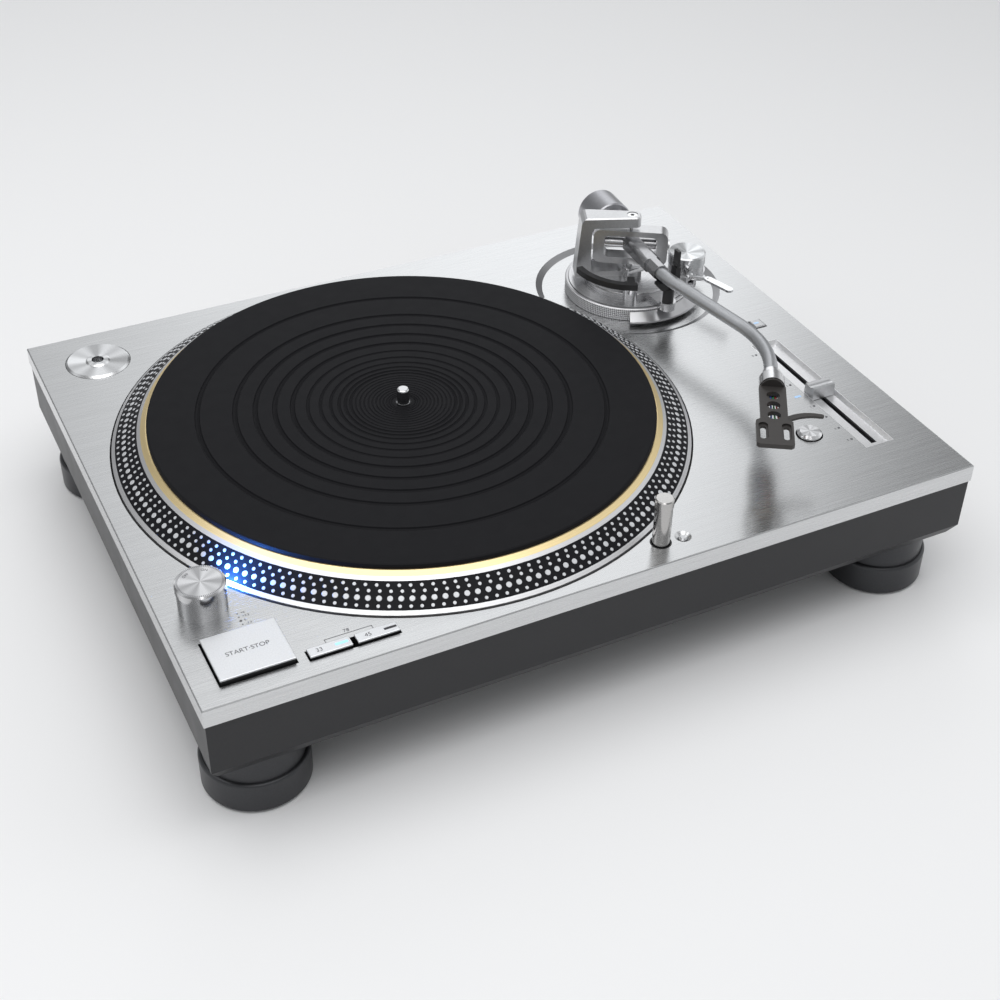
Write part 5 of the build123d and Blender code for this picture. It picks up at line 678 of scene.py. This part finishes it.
# Yoke: the socket of the upper pivot screw, and a thumb screw against the lower boss
SCREW_TOP = PLATE_TOP + 52.12
SOCKET_RADIUS = 1.4
SOCKET_THICKNESS = 0.1
THUMB_SHANK_AT = (PIVOT[0] - 1.6, PIVOT[1] - 9.1, PLATE_TOP + 16.2)
THUMB_SHANK_RADIUS = 1.6
THUMB_SHANK_LENGTH = 13.0
THUMB_GRIP_AT = (PIVOT[0] - 8.4, PIVOT[1] - 9.3, PLATE_TOP + 16.6)
THUMB_GRIP = (1.8, 6.4, 8.4)
shape = bmesh.new()
disc(shape, (*PIVOT, SCREW_TOP), SOCKET_RADIUS, SOCKET_THICKNESS, 6)
from_bmesh("pivot_socket", shape, black_plastic, "arm_mount")
shape = bmesh.new()
disc(shape, THUMB_SHANK_AT, THUMB_SHANK_RADIUS, THUMB_SHANK_LENGTH, 24, (1.0, 0.0, 0.0))
block(shape, THUMB_GRIP_AT, THUMB_GRIP, bevel=0.5)
from_bmesh("thumb_screw", shape, polished, "arm_mount")

# Gimbal: the locknut of its right pivot, and the end of the screw in it
LOCKNUT_OUT = 24.5
LOCKNUT_RADIUS = 3.6
LOCKNUT_THICKNESS = 1.0
SCREW_OUT = 25.1
SCREW_RADIUS = 2.2
SCREW_THICKNESS = 0.4
pivot_centre = Vector((*PIVOT, ARM_Z))
across = heading(90.0 + SHELL_HEADING)
shape = bmesh.new()
disc(shape, pivot_centre + across * LOCKNUT_OUT, LOCKNUT_RADIUS, LOCKNUT_THICKNESS, 32, across)
disc(shape, pivot_centre + across * SCREW_OUT, SCREW_RADIUS, SCREW_THICKNESS, 6, across)
from_bmesh("side_locknut", shape, satin_silver, "gimbal")

# Force dial: fine marks round it, and a longer one at every fourth
DIAL_REACH = 23.2
LONG_MARKS = 10
LONG_MARK = (0.1, 0.4, 4.0)
FINE_MARK = (0.1, 0.25, 2.2)
rearwards = heading(ROOT_HEADING) * -1.0
shape = bmesh.new()
ticks(shape, (0.0, 0.0), 4 * LONG_MARKS, 10.98, FINE_MARK, 0.0)
ticks(shape, (0.0, 0.0), LONG_MARKS, 11.0, LONG_MARK, -0.6)
aim(shape, shape.verts, rearwards)
shift(shape, shape.verts, pivot_centre + rearwards * DIAL_REACH)
from_bmesh("force_marks", shape, ink, "dial")

# Headshell: four leads and their clips under its top, seen through the holes
SHELL_WAY = heading(SHELL_HEADING)
SHELL_SIDE = heading(SHELL_HEADING + 90.0)
LEADS = (("white", -2.7, (0.8, 0.8, 0.78)), ("blue", -0.9, (0.05, 0.12, 0.5)),
         ("green", 0.9, (0.05, 0.3, 0.1)), ("red", 2.7, (0.6, 0.04, 0.03)))
LEAD_RADIUS = 0.55
LEAD_ROUTE = ((0.8, 0.7, 2.4), (9.0, 0.8, 2.9), (19.0, 1.0, 3.2), (28.0, 1.2, 2.9), (34.0, 1.3, 2.4))
CLIP_PLACE = (35.6, 1.3, 2.3)
CLIP_RADIUS = 0.75
CLIP_LENGTH = 3.6


def under_shell(offset, reach, widening, drop):
    """A place on a lead that lies at this offset, reached from the headshell's neck."""
    return Vector(NECK) + SHELL_WAY * reach + SHELL_SIDE * (offset * widening) - UPWARDS * drop


for name, offset, colour in LEADS:
    curve = bpy.data.curves.new(f"lead_{name}", "CURVE")
    curve.dimensions = "3D"
    curve.bevel_depth = LEAD_RADIUS * MM
    curve.bevel_resolution = 3
    curve.use_fill_caps = True
    spline = curve.splines.new("NURBS")
    spline.points.add(len(LEAD_ROUTE) - 1)
    for point, stop in zip(spline.points, LEAD_ROUTE):
        point.co = (*(under_shell(offset, *stop) * MM), 1.0)
    spline.order_u = 3
    spline.use_endpoint_u = True
    skin = satin(f"lead_{name}_skin", colour, 0.45, 0.0, 2000.0, 0.003)
    finish_piece(f"lead_{name}", mesh_of_curve(curve), skin, "shell", smooth=True)
    shape = bmesh.new()
    disc(shape, under_shell(offset, *CLIP_PLACE), CLIP_RADIUS, CLIP_LENGTH, 12, SHELL_WAY)
    from_bmesh(f"lead_clip_{name}", shape, gold, "shell")

# Rear: the words of the terminals
REAR_FACE = 172.27
TERMINAL_WORDS_Z = PLATE_TOP - 20.1
pale_ink = satin("pale_ink", (0.6, 0.6, 0.6), 0.5, 0.0)
for name, label, x in (("left", "L", 130.0), ("right", "R", 150.0), ("ground", "GND", 168.0)):
    words(f"terminal_words_{name}", label, 2.6, (x, REAR_FACE), TERMINAL_WORDS_Z, pale_ink, "plinth",
          facing=REARWARDS)

# Floor
FLOOR_REACH_M = 12.0
shape = bmesh.new()
bmesh.ops.create_grid(shape, x_segments=1, y_segments=1, size=FLOOR_REACH_M)
floor = add_object("floor", mesh_of_shape(shape, "floor"))
floor_paint = new_material("floor_paint", (0.86, 0.86, 0.865), 0.0, 0.7, Specular_IOR_Level=0.1)
floor.data.materials.append(floor_paint)

# Surroundings: bright and dark panels round the horizon, in degrees, dimmer towards the top
PANELS = ((0, 1.1), (22, 1.1), (30, 0.24), (47, 0.24), (53, 1.5), (66, 1.5), (78, 0.95), (84, 0.66),
          (100, 0.5), (112, 0.3), (138, 0.3), (150, 0.85), (166, 0.85), (180, 0.5), (325, 0.5), (345, 1.1))
HEIGHTS = ((0.0, 0.9), (0.47, 0.95), (0.54, 0.95), (0.62, 1.0), (0.72, 0.75), (0.86, 0.62))
PANEL_PEAK = 1.5
world = bpy.data.worlds.new("studio")
scene.world = world
world.use_nodes = True
sky = node(world, "ShaderNodeTexCoord").outputs["Generated"]
east, north, up = node(world, "ShaderNodeSeparateXYZ", _0=sky).outputs
compass = maths(world, "FRACT", maths(world, "DIVIDE", maths(world, "ARCTAN2", north, east), tau))
panels = ramp(world, compass, [(at / 360.0, (level / PANEL_PEAK,) * 3) for at, level in PANELS])
heights = ramp(world, up, [(at, (level,) * 3) for at, level in HEIGHTS])
strength = maths(world, "MULTIPLY", maths(world, "MULTIPLY", panels, heights), PANEL_PEAK)
backdrop = world.node_tree.nodes["Background"]
backdrop.inputs["Color"].default_value = (0.97, 0.985, 1.0, 1.0)
world.node_tree.links.new(strength, backdrop.inputs["Strength"])


def add_light(name, kind, power, at, way):
    """A lamp at a place in metres, shining this way."""
    lamp = bpy.data.lights.new(name, kind)
    lamp.energy = power
    thing = add_object(name, lamp)
    thing.location = at
    thing.rotation_euler = way.to_track_quat("-Z", "Y").to_euler()
    return lamp


# Soft light overhead
OVERHEAD_AT = Vector((-0.28, -0.15, 1.6))
OVERHEAD_AIM = Vector((-0.08, -0.05, 0.0))
overhead = add_light("overhead", "AREA", 20.5, OVERHEAD_AT, OVERHEAD_AIM - OVERHEAD_AT)
overhead.shape = "RECTANGLE"
overhead.size, overhead.size_y = 2.0, 1.6

# Strobe lamp in the tower's window
beam = add_light("strobe_beam", "SPOT", 0.4, (-0.1903, -0.0943, 0.0932), Vector((0.92, 0.38, 0.0)))
beam.color = (0.06, 0.25, 1.0)
beam.shadow_soft_size = 0.003
beam.spot_size = radians(150.0)
beam.spot_blend = 0.6
